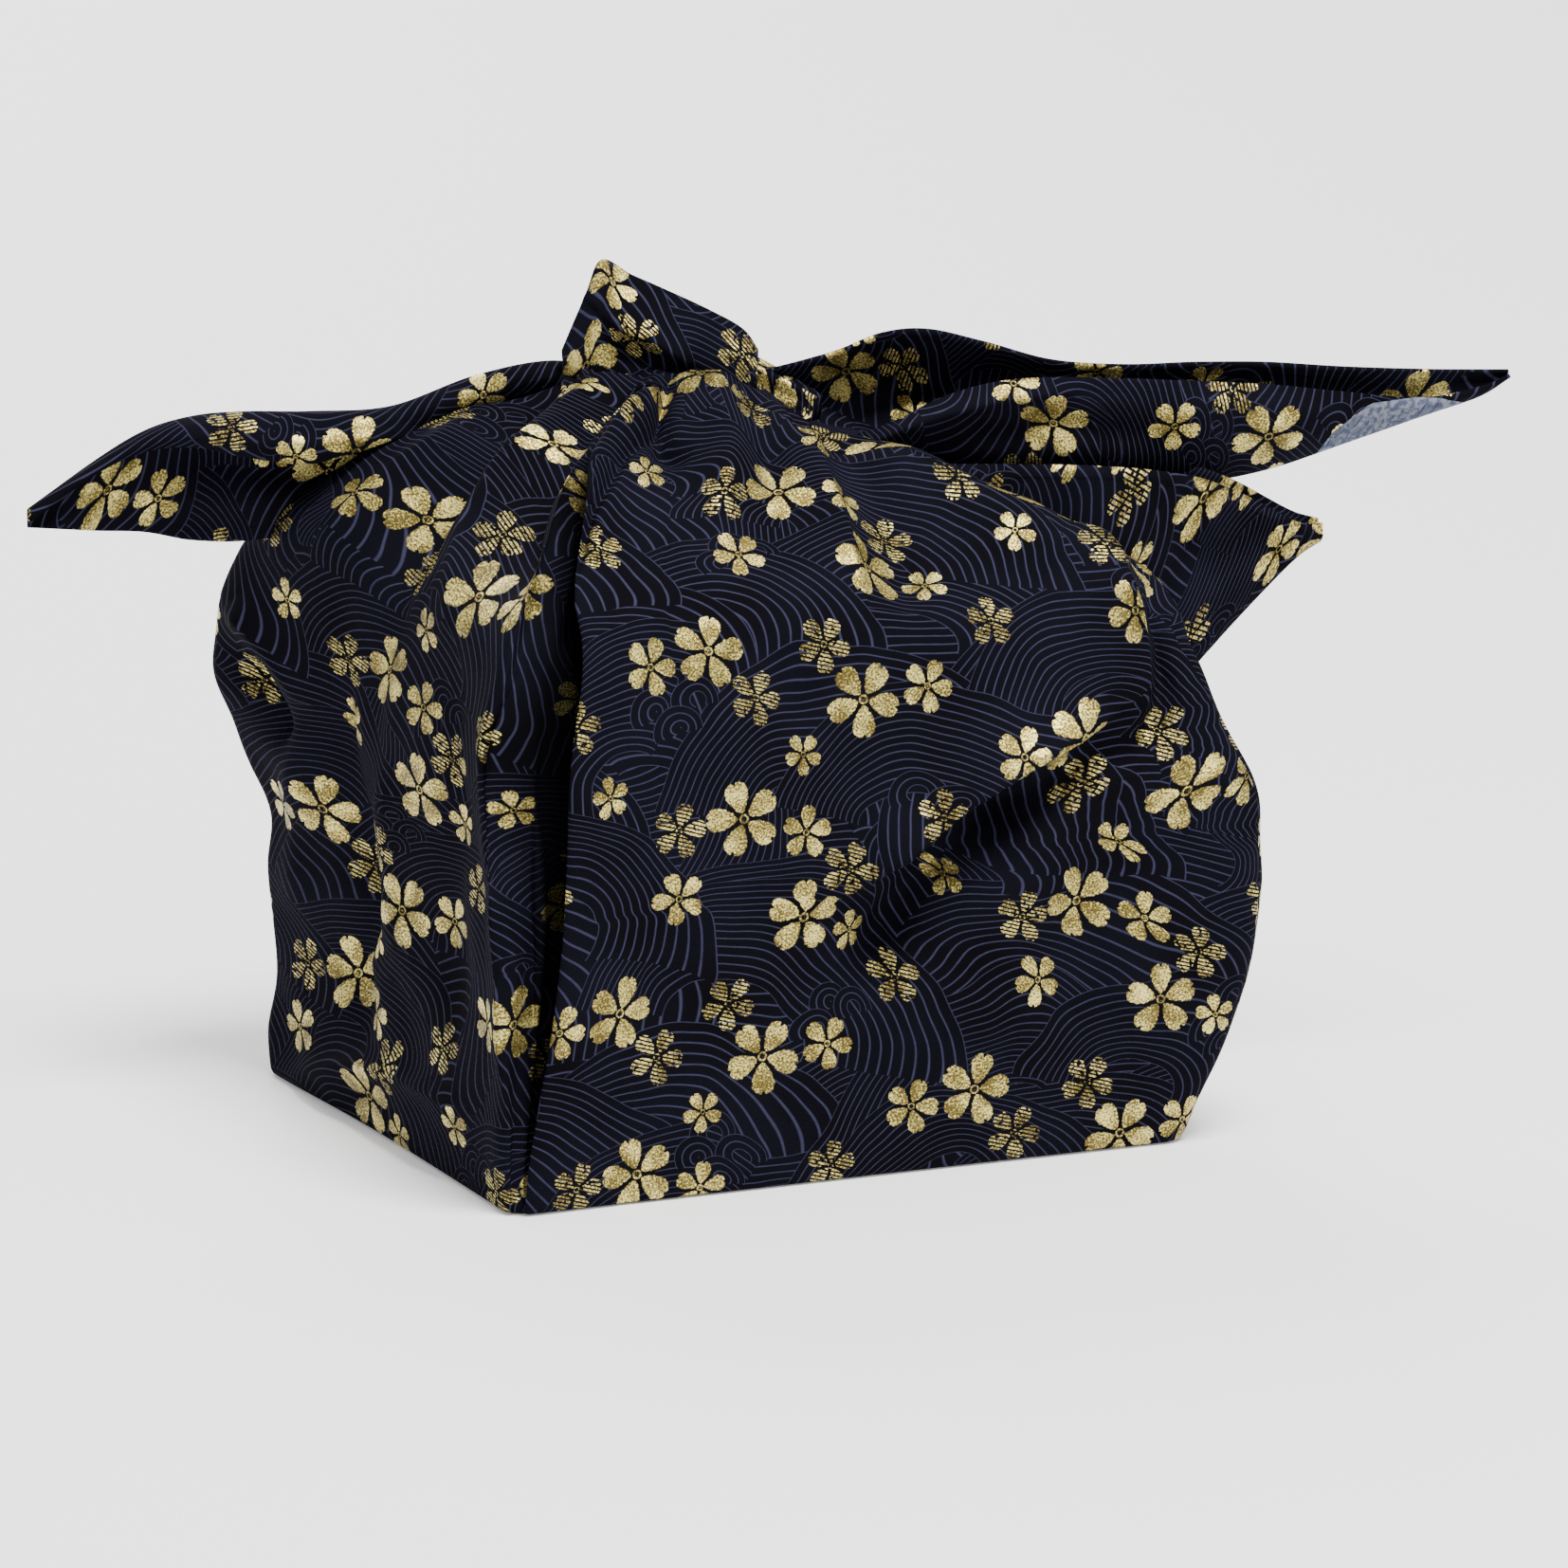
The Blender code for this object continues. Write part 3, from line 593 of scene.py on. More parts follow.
# %% [markdown]
# ## What a sheet knows of itself
# Each sheet carries the print by its own real length and width, so that no flower is stretched. It also stores how
# far each point is from the hem, and whether it lies in a part that shows the pale reverse. Those parts are outlined
# as the viewer sees them. The material could find neither, because it sees one point at a time.

# %% Print, hem and reverse
NOT_PALE = -5.0


def sheet_print(points, turn, shift):
    """Corner places by length along and across the sheet, turned on the print by an angle and shifted."""
    across = run_across(points)
    across = across - across[:, across.shape[1] // 2][:, None]
    along = run_across(points.mean(1)[None])[0][:, None] * np.ones_like(across)
    turn = np.radians(turn)
    u = along * np.cos(turn) - across * np.sin(turn) + shift[0]
    v = along * np.sin(turn) + across * np.cos(turn) + shift[1]
    return quad_corners(np.stack([u, v], -1))


def cloth_facts(points, pale=()):
    """How far each point is from the sheet's free edges, and how far inside the parts that show the reverse."""
    run = run_across(points)
    right, up, _ = viewer()
    x, z = points @ right, points @ up
    inside = np.full(x.shape, NOT_PALE)
    for corners in pale:
        depth = np.full(x.shape, np.inf)
        for (x1, z1), (x2, z2) in zip(corners, corners[1:] + corners[:1]):
            cross = (x2 - x1) * (z - z1) - (z2 - z1) * (x - x1)
            depth = np.minimum(depth, -cross / np.hypot(x2 - x1, z2 - z1))
        inside = np.maximum(inside, depth)
    return {"hem": np.minimum(run, run[:, -1:] - run), "reverse": inside}


print("a row with steps of 3 and 4 mm is", run_across(np.array([[[0], [3], [7]]]))[0, -1], "mm long")

# %% [markdown]
# ## From a sheet to a piece
# The sheet gets its folds, its unevenness and its thickness. A Solidify modifier makes the thickness, so the surface
# that we work out stays the middle of the cloth.

# %% Add a sheet
CLOTH = 0.8
SHEET_UNEVENNESS = 1.6


def add_sheet(name, points, strokes, turn, shift, pale=()):
    """A sheet with its folds, moved towards the viewer, and its thickness from a Solidify modifier."""
    toward = -viewer()[2] * np.ones_like(points)
    points = fold(points, toward, strokes, facing=1.0)
    points = handle(points, toward, SHEET_UNEVENNESS)
    piece = make_piece(name, points, sheet_print(points, turn, shift), cloth_facts(points, pale))
    solid = piece.modifiers.new("thickness", "SOLIDIFY")
    solid.thickness = CLOTH * MM
    solid.offset = 0.0
    return piece


print("the cloth of a sheet is", CLOTH, "mm thick")

# %% [markdown]
# ## The right tail
# The long tail is a trough: the cloth nearer to the viewer hangs as a wide band and the cloth behind it rises in a
# hollow loop near the knot. At its end the corner turns under, and its pale reverse shows. We could give each layer
# a sheet of its own, but the real cloth is one, so the three edges in the table carry both layers and the loop.

# %% Right tail
KNOT = (-15.0, 2.0)
RIGHT_TAIL = (
    (2.0, 158.0, 163.0, 170.0, 10.0), (20.0, 153.0, 160.0, 171.5, 16.0), (40.0, 149.5, 156.0, 175.5, 23.0),
    (52.0, 148.0, 158.5, 179.5, 27.0), (63.0, 147.0, 163.5, 180.0, 27.0), (76.0, 145.0, 166.8, 176.5, 24.0),
    (92.0, 142.5, 167.2, 171.5, 20.0), (110.0, 141.0, 166.0, 169.5, 17.0), (127.0, 141.5, 164.6, 169.3, 15.0),
    (143.0, 144.0, 163.0, 168.4, 13.0), (160.0, 149.0, 160.6, 166.5, 10.0), (178.0, 154.5, 158.4, 165.0, 7.0),
    (191.0, 158.4, 160.4, 164.2, 4.0), (198.0, 162.4, 162.8, 163.8, 1.8),
)
RIGHT_STROKES = (
    (((30, 149), (38.6, 153.6), (48.4, 157), (64, 161), (80, 163)), 2.5, 1.5, 3.4, 1.3),
    (((40, 148), (55, 153), (74, 155), (96, 154)), 4.0, 4.0, -3.6, 1.8),
    (((28, 155), (40, 160), (52, 162)), 2.5, 2.5, -2.4, 1.8),
    (((96, 161), (120, 160), (146, 156)), 3.0, 5.0, 1.4, 1.6),
    (((100, 149), (126, 148), (150, 154)), 5.0, 5.0, -1.6, 1.9),
)
RIGHT_PALE = [[(132, 146), (138.5, 154.5), (147, 160.6), (158, 162), (172, 161), (150, 143)]]
right_tail = add_sheet(
    "right_tail", folded_sheet(RIGHT_TAIL, KNOT, (180.0, -36.0), bow=-5.0, curl=0.42), RIGHT_STROKES,
    turn=62, shift=(30, 12), pale=RIGHT_PALE,
)

# %% [markdown]
# ## The left tail
# On the left the fold is on top. The near half is a narrow flap, and below it one looks into a dark hollow and on
# to the far half, which is the wider one. A mirrored copy of the right tail would be a trough again, so this tail
# has a table of its own. Its root lies behind the tent's roll of cloth.

# %% Left tail
LEFT_TAIL = (
    (2.0, 171.0, 166.0, 157.0, 7.0), (16.0, 173.6, 168.0, 156.0, 9.0), (33.0, 170.6, 163.0, 150.0, 11.0),
    (52.0, 164.0, 156.4, 142.4, 13.0), (70.0, 163.2, 151.6, 136.2, 16.0), (85.0, 163.4, 153.2, 134.0, 17.0),
    (97.0, 162.6, 155.8, 134.4, 15.0), (108.0, 159.5, 155.2, 136.5, 11.0), (120.0, 152.5, 150.0, 137.0, 7.0),
    (135.0, 142.0, 139.0, 138.0, 3.8),
)
LEFT_STROKES = (
    (((-52, 158), (-80, 154), (-104, 153)), 3.0, 3.0, -2.0, 1.8),
    (((-92, 140), (-112, 138), (-134, 140)), 4.0, 4.0, 1.8, 1.8),
    (((-70, 148), (-98, 144), (-124, 148)), 3.0, 4.0, -1.6, 1.8),
)
left_tail = add_sheet(
    "left_tail", folded_sheet(LEFT_TAIL, (-20.0, 14.0), (-150.0, 55.0), bow=-6.0), LEFT_STROKES,
    turn=-24, shift=(14, 50),
)

# %% [markdown]
# ## The wing
# Below the right tail a corner of the right side's cloth stands away from the bundle and ends in a point. It could be
# pulled out of the bundle's own grid, but that would stretch the print. So it is a folded sheet like the tails, with
# rows that get lower towards the point.

# %% Wing
WING = (
    (-22.0, 50.0, 149.0, 152.0, 14.0), (0.0, 58.0, 148.0, 150.0, 14.0), (26.0, 78.0, 146.0, 149.0, 14.0),
    (44.0, 96.0, 143.0, 146.5, 11.0), (57.0, 109.5, 138.0, 141.5, 8.0), (70.0, 122.0, 131.0, 134.0, 5.0),
    (77.0, 126.5, 130.5, 131.5, 3.8),
)
WING_STROKES = (
    (((104, 142), (118, 137), (132, 132)), 1.2, 3.6, 2.4, 1.3),
    (((100, 128), (112, 126), (126, 129)), 6.0, 6.0, -2.2, 1.8),
    (((101, 108), (114, 117), (126, 125)), 4.0, 4.0, 1.6, 1.8),
)
wing = add_sheet(
    "wing", folded_sheet(WING, (60.0, -14.0), (135.0, -28.0), bow=3.0), WING_STROKES, turn=38, shift=(58, 6)
)

# %% [markdown]
# ## The ear
# The third corner of the cloth stands up behind the knot. It is a short upright sheet whose foot is caught in the
# knot. A sharp crease runs from its left side down to the right. It isn't folded lengthwise as the tails are, so it
# has rows of its own, each of them upright.

# %% Ear
# The columns are the place along the ear, its lowest and highest edge, and how far its top leans back.
EAR = (
    (-22.5, 172.0, 177.0, 0.5), (-17.0, 170.0, 190.0, 3.0), (-13.8, 168.0, 197.0, 5.0), (-7.0, 166.0, 193.5, 5.0),
    (1.0, 165.0, 190.0, 4.5), (11.0, 165.0, 185.5, 3.5), (18.0, 165.0, 181.5, 3.0), (21.5, 166.0, 176.5, 3.0),
)
EAR_STROKES = (
    (((-28, 180), (-24, 176.5), (-16, 173), (-8, 168)), 5.0, 0.9, 3.6, 1.2),
    (((-26, 173), (-16, 169), (-6, 165)), 2.5, 2.5, -2.6, 1.8),
    (((-14, 192), (2, 184), (14, 176)), 3.5, 3.5, 1.2, 1.8),
)
EAR_BACK = 4.0
EAR_BOW = 2.2


def ear_sheet(along=90, up=44):
    """Upright rows from left to right as the viewer sees them. Each lies EAR_BACK behind the knot, leans back by its
    tilt, and bends forward by EAR_BOW times half a sine wave.
    """
    right, _, forward = viewer()
    size = table(EAR, ("along", "low", "high", "tilt"), along, upright=True)
    t = np.linspace(0, 1, up)
    back = EAR_BACK + size["tilt"] * t - EAR_BOW * np.sin(np.pi * t)
    flat = np.array(KNOT) + right[:2] * size["along"][..., None]
    flat = flat + forward[:2] / np.hypot(*forward[:2]) * back[..., None]
    return np.concatenate([flat, (size["low"] + (size["high"] - size["low"]) * t)[..., None]], -1)


ear = add_sheet("ear", ear_sheet(), EAR_STROKES, turn=20, shift=(66, 40))

# %% [markdown]
# ## The knot's band
# From behind one sees how the two tails cross and pull tight round the neck of the bundle. That turn of cloth is a
# gathered band. A bevelled curve would be a smooth hose. So its outline is a flattened circle with a few deep pleats
# that run along it, carried along a path that goes from one tail behind the neck to the other.

# %% Knot band
# The columns are the path's x, y and z, then the band's half width and half thickness.
BAND = (
    (-26.0, -2.0, 156.0, 5.0, 4.0), (-32.0, 6.0, 160.0, 7.0, 5.0), (-29.0, 14.0, 164.0, 8.5, 5.5),
    (-19.0, 19.0, 167.0, 10.0, 6.0), (-6.0, 18.0, 167.0, 9.5, 6.0), (4.0, 11.0, 166.0, 9.0, 5.5),
    (12.0, 2.0, 164.0, 7.0, 5.0), (20.0, -5.0, 162.0, 4.0, 4.0),
)
# The number of pleats round the outline and their depth as a share of its radius, and their turn along the path.
DEEP_PLEATS, FINE_PLEATS = (5, 0.16), (9, 0.07)
BAND_TWIST = 1.6


def band_points(along=120, round_it=96):
    """A closed outline carried square to the path. Its radius is 1 plus one cosine for each kind of pleat."""
    size = table(BAND, ("x", "y", "z", "wide", "thick"), along)
    path = np.stack([size["x"], size["y"], size["z"]], -1)
    onward = np.gradient(path, axis=0)
    onward /= np.linalg.norm(onward, axis=1)[:, None]
    sideways = np.cross(onward, [0, 0, 1.0])
    sideways /= np.linalg.norm(sideways, axis=1)[:, None]
    upward = np.cross(sideways, onward)
    angle = np.linspace(0, 2 * np.pi, round_it, endpoint=False)[None]
    twist = np.linspace(0, BAND_TWIST, along)[:, None]
    deep = DEEP_PLEATS[1] * np.cos(DEEP_PLEATS[0] * angle + twist)
    fine = FINE_PLEATS[1] * np.cos(FINE_PLEATS[0] * angle - 2 * twist)
    radius = 1 + deep + fine
    out_side = (radius * np.cos(angle)) * size["thick"][:, None]
    out_up = (radius * np.sin(angle)) * size["wide"][:, None]
    points = path[:, None] + sideways[:, None] * out_side[..., None] + upward[:, None] * out_up[..., None]
    # Counted the other way round, the faces point outwards.
    return points[:, ::-1]


def add_band():
    """The band as a closed surface, with the print along it."""
    points = band_points()
    whole = np.concatenate([points, points[:, :1]], 1)
    piece = make_piece("knot_band", points, sheet_print(whole, turn=80, shift=(20, 70)), closed=True, caps=True)
    return piece


band = add_band()

# %% [markdown]
# ## Writing shader sums as plain expressions
# The print is worked out by the material, so it stays sharp at any distance. That takes a few hundred small nodes.
# Placed by hand they would be unreadable. One small class lets us write `1 - mask` or `(a + b) * 2` and
# adds the Math nodes for us.

# %% Wires


class Wire:
    """A socket that sums can be written with. Its node method adds any other node."""

    def __init__(self, tree, socket=None):
        self.tree = tree
        self.socket = socket

    def node(self, kind, settings=None, inputs=None, output=0):
        """Adds a node: settings first, then values or links of its sockets. Returns the wire of one output."""
        made = self.tree.nodes.new(kind)
        for name, value in (settings or {}).items():
            setattr(made, name, value)
        for name, value in (inputs or {}).items():
            if isinstance(value, Wire):
                self.tree.links.new(value.socket, made.inputs[name])
            else:
                made.inputs[name].default_value = value
        return Wire(self.tree, made.outputs[output])

    def math(self, operation, *others):
        """A Math node whose first value is this wire."""
        return self.node("ShaderNodeMath", {"operation": operation}, dict(enumerate((self, *others))))

    def vector(self, operation, *others, output=0):
        """A Vector Math node whose first vector is this wire."""
        return self.node(
            "ShaderNodeVectorMath", {"operation": operation}, dict(enumerate((self, *others))), output
        )

    def sized(self, scale):
        """This vector times one number."""
        return self.node("ShaderNodeVectorMath", {"operation": "SCALE"}, {0: self, "Scale": scale})

    def part(self, axis):
        """This vector's x, y or z, for an axis of 0, 1 or 2."""
        return self.node("ShaderNodeSeparateXYZ", None, {0: self}, axis)

    def turned(self, degrees):
        """This vector turned about the z axis."""
        return self.node(
            "ShaderNodeVectorRotate", {"rotation_type": "Z_AXIS"}, {"Vector": self, "Angle": np.radians(degrees)}
        )

    def mix(self, first, second, kind="FLOAT"):
        """first where this wire is 0, and second where it is 1."""
        place = {"FLOAT": 2, "VECTOR": 4, "RGBA": 6}[kind]
        output = {"FLOAT": 0, "VECTOR": 1, "RGBA": 2}[kind]
        return self.node(
            "ShaderNodeMix", {"data_type": kind}, {0: self, place: first, place + 1: second}, output
        )

    def noise(self, size, detail=2.0, output=0):
        """Noise with blobs about size across, in the units of this vector."""
        return self.node(
            "ShaderNodeTexNoise", None, {"Vector": self, "Scale": 1 / size, "Detail": detail}, output
        )

    def soft(self, low, high):
        """0 below low, 1 above high, and a smooth step between them."""
        return self.node(
            "ShaderNodeMapRange", {"interpolation_type": "SMOOTHSTEP"},
            {"Value": self, "From Min": low, "From Max": high, "To Min": 0.0, "To Max": 1.0},
        )

    def __add__(self, other):
        return self.math("ADD", other)

    __radd__ = __add__

    def __sub__(self, other):
        return self.math("SUBTRACT", other)

    def __rsub__(self, other):
        return self.node("ShaderNodeMath", {"operation": "SUBTRACT"}, {0: other, 1: self})

    def __mul__(self, other):
        return self.math("MULTIPLY", other)

    __rmul__ = __mul__

    def __truediv__(self, other):
        return self.math("DIVIDE", other)

    def __lt__(self, other):
        return self.math("LESS_THAN", other)

    def __gt__(self, other):
        return self.math("GREATER_THAN", other)


print("a Wire understands + - * / < and >")

# %% [markdown]
# ## The print: waves
# The blue lines are fans of rings that overlap like roof tiles, each fan hiding the ones behind it. A repeating
# chart lists the fans from the back to the front, each as a number of rings about a middle. A fan has only its
# upper half: the repeat is cut just below the middle, so what lies lower counts as far above. Groups of fans lie
# in different directions, and a slow noise bends them all, so that the lines look drawn by hand. Blender's Wave
# texture gives only one set of rings, so we work out the fans ourselves.

# %% Waves
# Each group has its turn in degrees, its flattening, its sweep to one side, its ring pitch, its repeat and how far a
# fan goes on below its middle. Then come its fans: the place of the middle, and the innermost and outermost rings.
FAN_GROUPS = (
    (62, 1.2, 0.30, 2.1, (126, 166), 1.0, ((-30, 40, 6, 23), (28, -6, 7, 22), (-20, -56, 6, 23))),
    (6, 1.3, -0.30, 2.25, (136, 112), 2.0, (
        (-38, 38, 6, 20), (31, 33, 6, 22), (-5, 12, 5, 18), (-58, 4, 5, 17), (40, -8, 5, 20), (-26, -26, 5, 20),
        (22, -42, 4, 17),
    )),
    (-48, 1.4, 0.32, 2.2, (150, 128), 1.0, ((-38, 24, 6, 20), (35, -18, 5, 22))),
    (18, 1.35, -0.26, 2.25, (152, 118), 2.0, (
        (-43, 27, 6, 20), (20, -1, 5, 17), (-13, -36, 6, 20), (56, 36, 5, 16),
    )),
    (-8, 1.2, 0.15, 1.8, (124, 104), 1.5, (
        (-28, 20, 1, 3), (-33, 16, 0, 3), (-23, 15, 1, 3), (-29, 11, 0, 3), (30, -16, 1, 3), (36, -20, 0, 3),
        (0, 44, 0, 3), (6, 41, 1, 3), (-6, 40, 0, 3),
    )),
)
# How the lines are bent: the size of the noise's blobs, and twice the most that it moves a place.
BEND, RIPPLE = (62.0, 28.0), (17.0, 3.0)
# The wide rings that show where no fan lies, and the two edges of a line as shares of the pitch.
BASE_MIDDLE, BASE_PITCH = (40, -420, 0), 2.2
LINE_EDGES = (0.03, 0.125)


def push(place, size, amount):
    """A slow random push of the place, by up to half the amount each way."""
    return place.noise(size, 1.0, output=1).vector("SUBTRACT", (0.5, 0.5, 0.5)).sized(amount)


def wave_lines(place):
    """How much of a wave line is at each place: the distance to the nearest ring of the frontmost fan.

    A ring is where the distance from the middle, plus a share of the distance to one side, is a whole number.
    """
    bent = place.vector("ADD", push(place, *BEND)).vector("ADD", push(place, *RIPPLE))
    rings = bent.vector("DISTANCE", BASE_MIDDLE, output=1) / BASE_PITCH
    for turn, flat, sweep, gap, repeat, below, fans in FAN_GROUPS:
        flattened = bent.turned(turn).vector("MULTIPLY", (1, flat, 0))
        highest = (repeat[0] / 2, repeat[1] * flat - below, 1.0)
        lowest = (-repeat[0] / 2, -below, -1.0)
        for x, y, inner, outer in fans:
            away = flattened.vector("SUBTRACT", (x, y * flat, 0)).vector("WRAP", highest, lowest)
            far = away.vector("LENGTH", output=1) + away.vector("DOT_PRODUCT", (sweep, 0, 0), output=1)
            reach = far / gap
            shows = reach.math("COMPARE", (inner + outer) / 2, (outer - inner) / 2)
            rings = shows.mix(rings, reach)
    off = ((rings + 0.5).math("FRACT") - 0.5).math("ABSOLUTE")
    return 1 - off.soft(*LINE_EDGES)


print(sum(len(group[-1]) for group in FAN_GROUPS), "fans in", len(FAN_GROUPS), "groups")

# %% [markdown]
# ## The print: cherry blossom
# The gold flowers stand in chains of two to four. A Voronoi texture would scatter them, but it can't set them in
# chains. So a chart gives each one's place and radius in a repeat of 92 by 84 mm, and the material finds the nearest
# one. The flowers from `FIRST_HATCHED` on are drawn with stripes only.

# %% Flowers
FLOWER_REPEAT = (92.0, 84.0)
FLOWER_TURN = 17.0
FLOWERS = (
    (-30, 24, 8.8), (-15.5, 30, 6.2), (9.5, 20, 6.4), (23, 27, 8.6), (-36, -8, 6.2),
    (-31, -27, 8.8), (-17, -28, 5.0), (6, -10, 4.9), (40, -8, 8.8), (30, -29, 6.3),
    (-41, 9, 4.9),
    (-42, 34, 6.4), (36, 19, 6.6), (-24, -14, 6.6), (26, -14, 6.4), (-6, 3, 6.0), (-3, -36, 6.0),
)
FIRST_HATCHED = 11


def nearest_flower(turned):
    """How far the nearest flower is in its own radii, the way from its middle, and its number in the chart."""
    half = (FLOWER_REPEAT[0] / 2, FLOWER_REPEAT[1] / 2, 1.0)
    nearest, local, number = 9.0, (0.0, 0.0, 0.0), 0.0
    for k, (x, y, radius) in enumerate(FLOWERS):
        away = turned.vector("SUBTRACT", (x, y, 0)).vector("WRAP", half, [-c for c in half]).sized(1 / radius)
        far = away.vector("LENGTH", output=1)
        closer = far < nearest
        local = closer.mix(local, away, "VECTOR")
        number = closer.mix(number, float(k))
        nearest = far.math("MINIMUM", nearest)
    return nearest, local, number


print(len(FLOWERS), "flowers in a repeat,", len(FLOWERS) - FIRST_HATCHED, "of them hatched")

# %% [markdown]
# ## One petal, drawn five times
# A petal is drawn in its flower's own size, where the tip is 1 from the middle: a stretched and tapered half round,
# with a notch in its tip. Folding the angle round the middle into one fifth of a turn draws all five. A picture of a
# flower would be quicker, but it would blur close up.

# %% Petals
PETAL_WIDEST, PETAL_WIDTH, PETAL_TAPER = 0.58, 0.285, 0.125
NOTCH_PLACE, NOTCH_SLOPE = 0.90, 1.5
EYE_RADIUS, EYE_WIDTH = 0.10, 0.028
PETAL_EDGES = (-0.012, 0.025)
NEXT_TURN = 2.4
# The paste's ragged edge, then a hatched flower's stripes and their gaps. Blobs and the pitch are in millimetres.
RAGGED_BLOB, RAGGED = 0.9, 0.10
STRIPE_PITCH, STRIPE_WOBBLE, STRIPE_EDGES = 0.88, 3, (0.34, 0.22)
GAP_BLOB, GAP_EDGES = 1.1, (0.30, 0.42)


def flower_shapes(place):
    """The gold's mask, and how far out each place is in its nearest flower, where 1 is the petals' tips.

    With t from 0 at the petal's widest to 1 at its tip, its half width is the root of 1 - t squared, times
    PETAL_WIDTH + PETAL_TAPER t.
    """
    turned = place.turned(FLOWER_TURN).vector("MULTIPLY", (1, 1, 0))
    nearest, local, number = nearest_flower(turned)
    ragged = (place.noise(RAGGED_BLOB, 1.0) - 0.5) * RAGGED
    angle = local.part(1).math("ARCTAN2", local.part(0)) + number * NEXT_TURN
    angle = angle.math("WRAP", np.pi / 5, -np.pi / 5)
    out = nearest * angle.math("COSINE")
    aside = (nearest * angle.math("SINE")).math("ABSOLUTE")
    t = (out - PETAL_WIDEST) / (1 - PETAL_WIDEST)
    half_width = (1 - t * t).math("MAXIMUM", 0.0).math("SQRT") * (PETAL_WIDTH + PETAL_TAPER * t)
    notch = NOTCH_PLACE + aside * NOTCH_SLOPE - out
    petal = (half_width - aside).math("MINIMUM", notch) + ragged
    eye = EYE_WIDTH - (nearest - EYE_RADIUS).math("ABSOLUTE")
    solid = petal.math("MAXIMUM", eye).soft(*PETAL_EDGES)
    stripe = (turned.part(1) / STRIPE_PITCH + ragged * STRIPE_WOBBLE).math("FRACT")
    stripe = (stripe - 0.5).math("ABSOLUTE").soft(*STRIPE_EDGES) * place.noise(GAP_BLOB, 0.0).soft(*GAP_EDGES)
    hatched = number > FIRST_HATCHED - 0.5
    return solid * hatched.mix(1.0, stripe), nearest


print("a petal is widest at", PETAL_WIDEST, "of the flower's radius")

# %% [markdown]
# ## The printed cotton
# The ground is a very dark navy plain weave. The gold is a grainy metallic paste, and its glints are painted into its
# colour: grains and slow patches run from dark to bright gold. The reverse of the cloth is pale, with the print
# showing through faintly. One colour after another is laid over the ground by the masks from above. A painted image
# would need a map of many thousand pixels for the same sharpness.

# %% Colours of the cotton
GROUND = (0.0022, 0.0020, 0.0032, 1)
GROUND_LIT = (0.0040, 0.0037, 0.0070, 1)
LINE = (0.030, 0.030, 0.060, 1)
GOLD = (0.86, 0.73, 0.25, 1)
GOLD_DARK = (0.10, 0.072, 0.018, 1)
REVERSE = (0.15, 0.165, 0.20, 1)
REVERSE_DARK = (0.035, 0.042, 0.08, 1)
SHADOW = (0.0006, 0.0006, 0.0010, 1)
# The sizes of the blobs in millimetres: clouds in the ground, the gold's grains, which are painted glints as well as
# its bump, its patches of painted reflection, wear, and show-through.
CLOUD, GRAIN, PATCH, WEAR, BLOTCH = 30.0, 0.5, 6.0, 2.6, 1.4
# Where the lines stop round a flower, and from which grain on the gold is painted as a full glint.
CLEAR_RING, GLITTER = (0.45, 0.62), (0.38, 0.76)
LINE_COVER, SHADOW_COVER, REFLECTION_PATCHINESS = 0.9, 0.85, 0.5


def fact(start, name):
    """A number that is stored with the cloth."""
    return start.node("ShaderNodeAttribute", {"attribute_name": name}, None, "Fac")


def cotton_colour(start, place):
    """The colour, the mask of the gold that shows, and the gold's grain."""
    gold, flower = flower_shapes(place)
    worn = (place.noise(WEAR, 2.0) * 0.8 + 0.55).math("MINIMUM", 1.0)
    lines = wave_lines(place) * flower.soft(*CLEAR_RING) * worn
    colour = place.noise(CLOUD, 2.0).soft(0.3, 0.7).mix(GROUND, GROUND_LIT, "RGBA")
    colour = (lines * LINE_COVER).mix(colour, LINE, "RGBA")
    # Painted glints and painted reflection: the gold's colour runs from GOLD_DARK to GOLD by its grain and by slow
    # patches.
    grain = place.noise(GRAIN, 2.0)
    reflection_patches = (place.noise(PATCH, 1.0) - 0.5) * REFLECTION_PATCHINESS
    gold_colour = (grain + reflection_patches).soft(*GLITTER).mix(GOLD_DARK, GOLD, "RGBA")
    colour = gold.mix(colour, gold_colour, "RGBA")
    # Painted shade: deep in the pleat the colour is darkened towards SHADOW.
    colour = (fact(start, "pleat_shade") * SHADOW_COVER).mix(colour, SHADOW, "RGBA")
    through = (lines * 0.6 + gold * 0.5).math("MAXIMUM", place.noise(BLOTCH, 2.0).soft(0.44, 0.60) * 0.8)
    pale = fact(start, "reverse") > 0.01
    colour = pale.mix(colour, through.mix(REVERSE, REVERSE_DARK, "RGBA"), "RGBA")
    return colour, gold * (1 - pale), grain


print("the gold glitters in grains of", GRAIN, "mm")

# %% [markdown]
# ## Weave, hem and finish
# The threads are too fine for the mesh, and so are the paste's thickness and the band of the turned hem. They go
# into the bump, which changes only how the light falls. Cotton is dull, and the gold is smoother and partly metal.

# %% Cotton
WEAVE_PITCH = 0.62
HEM_EDGES = (2.6, 3.4)
# Heights in millimetres.
WEAVE_HEIGHT, GOLD_HEIGHT, GRAIN_HEIGHT, HEM_HEIGHT = 0.020, 0.06, 0.05, 0.12
BUMP_STRENGTH = 0.8
COTTON_ROUGHNESS, GOLD_ROUGHNESS, GOLD_METALLIC = 0.85, 0.42, 0.6
COTTON_GLOSS = 0.02


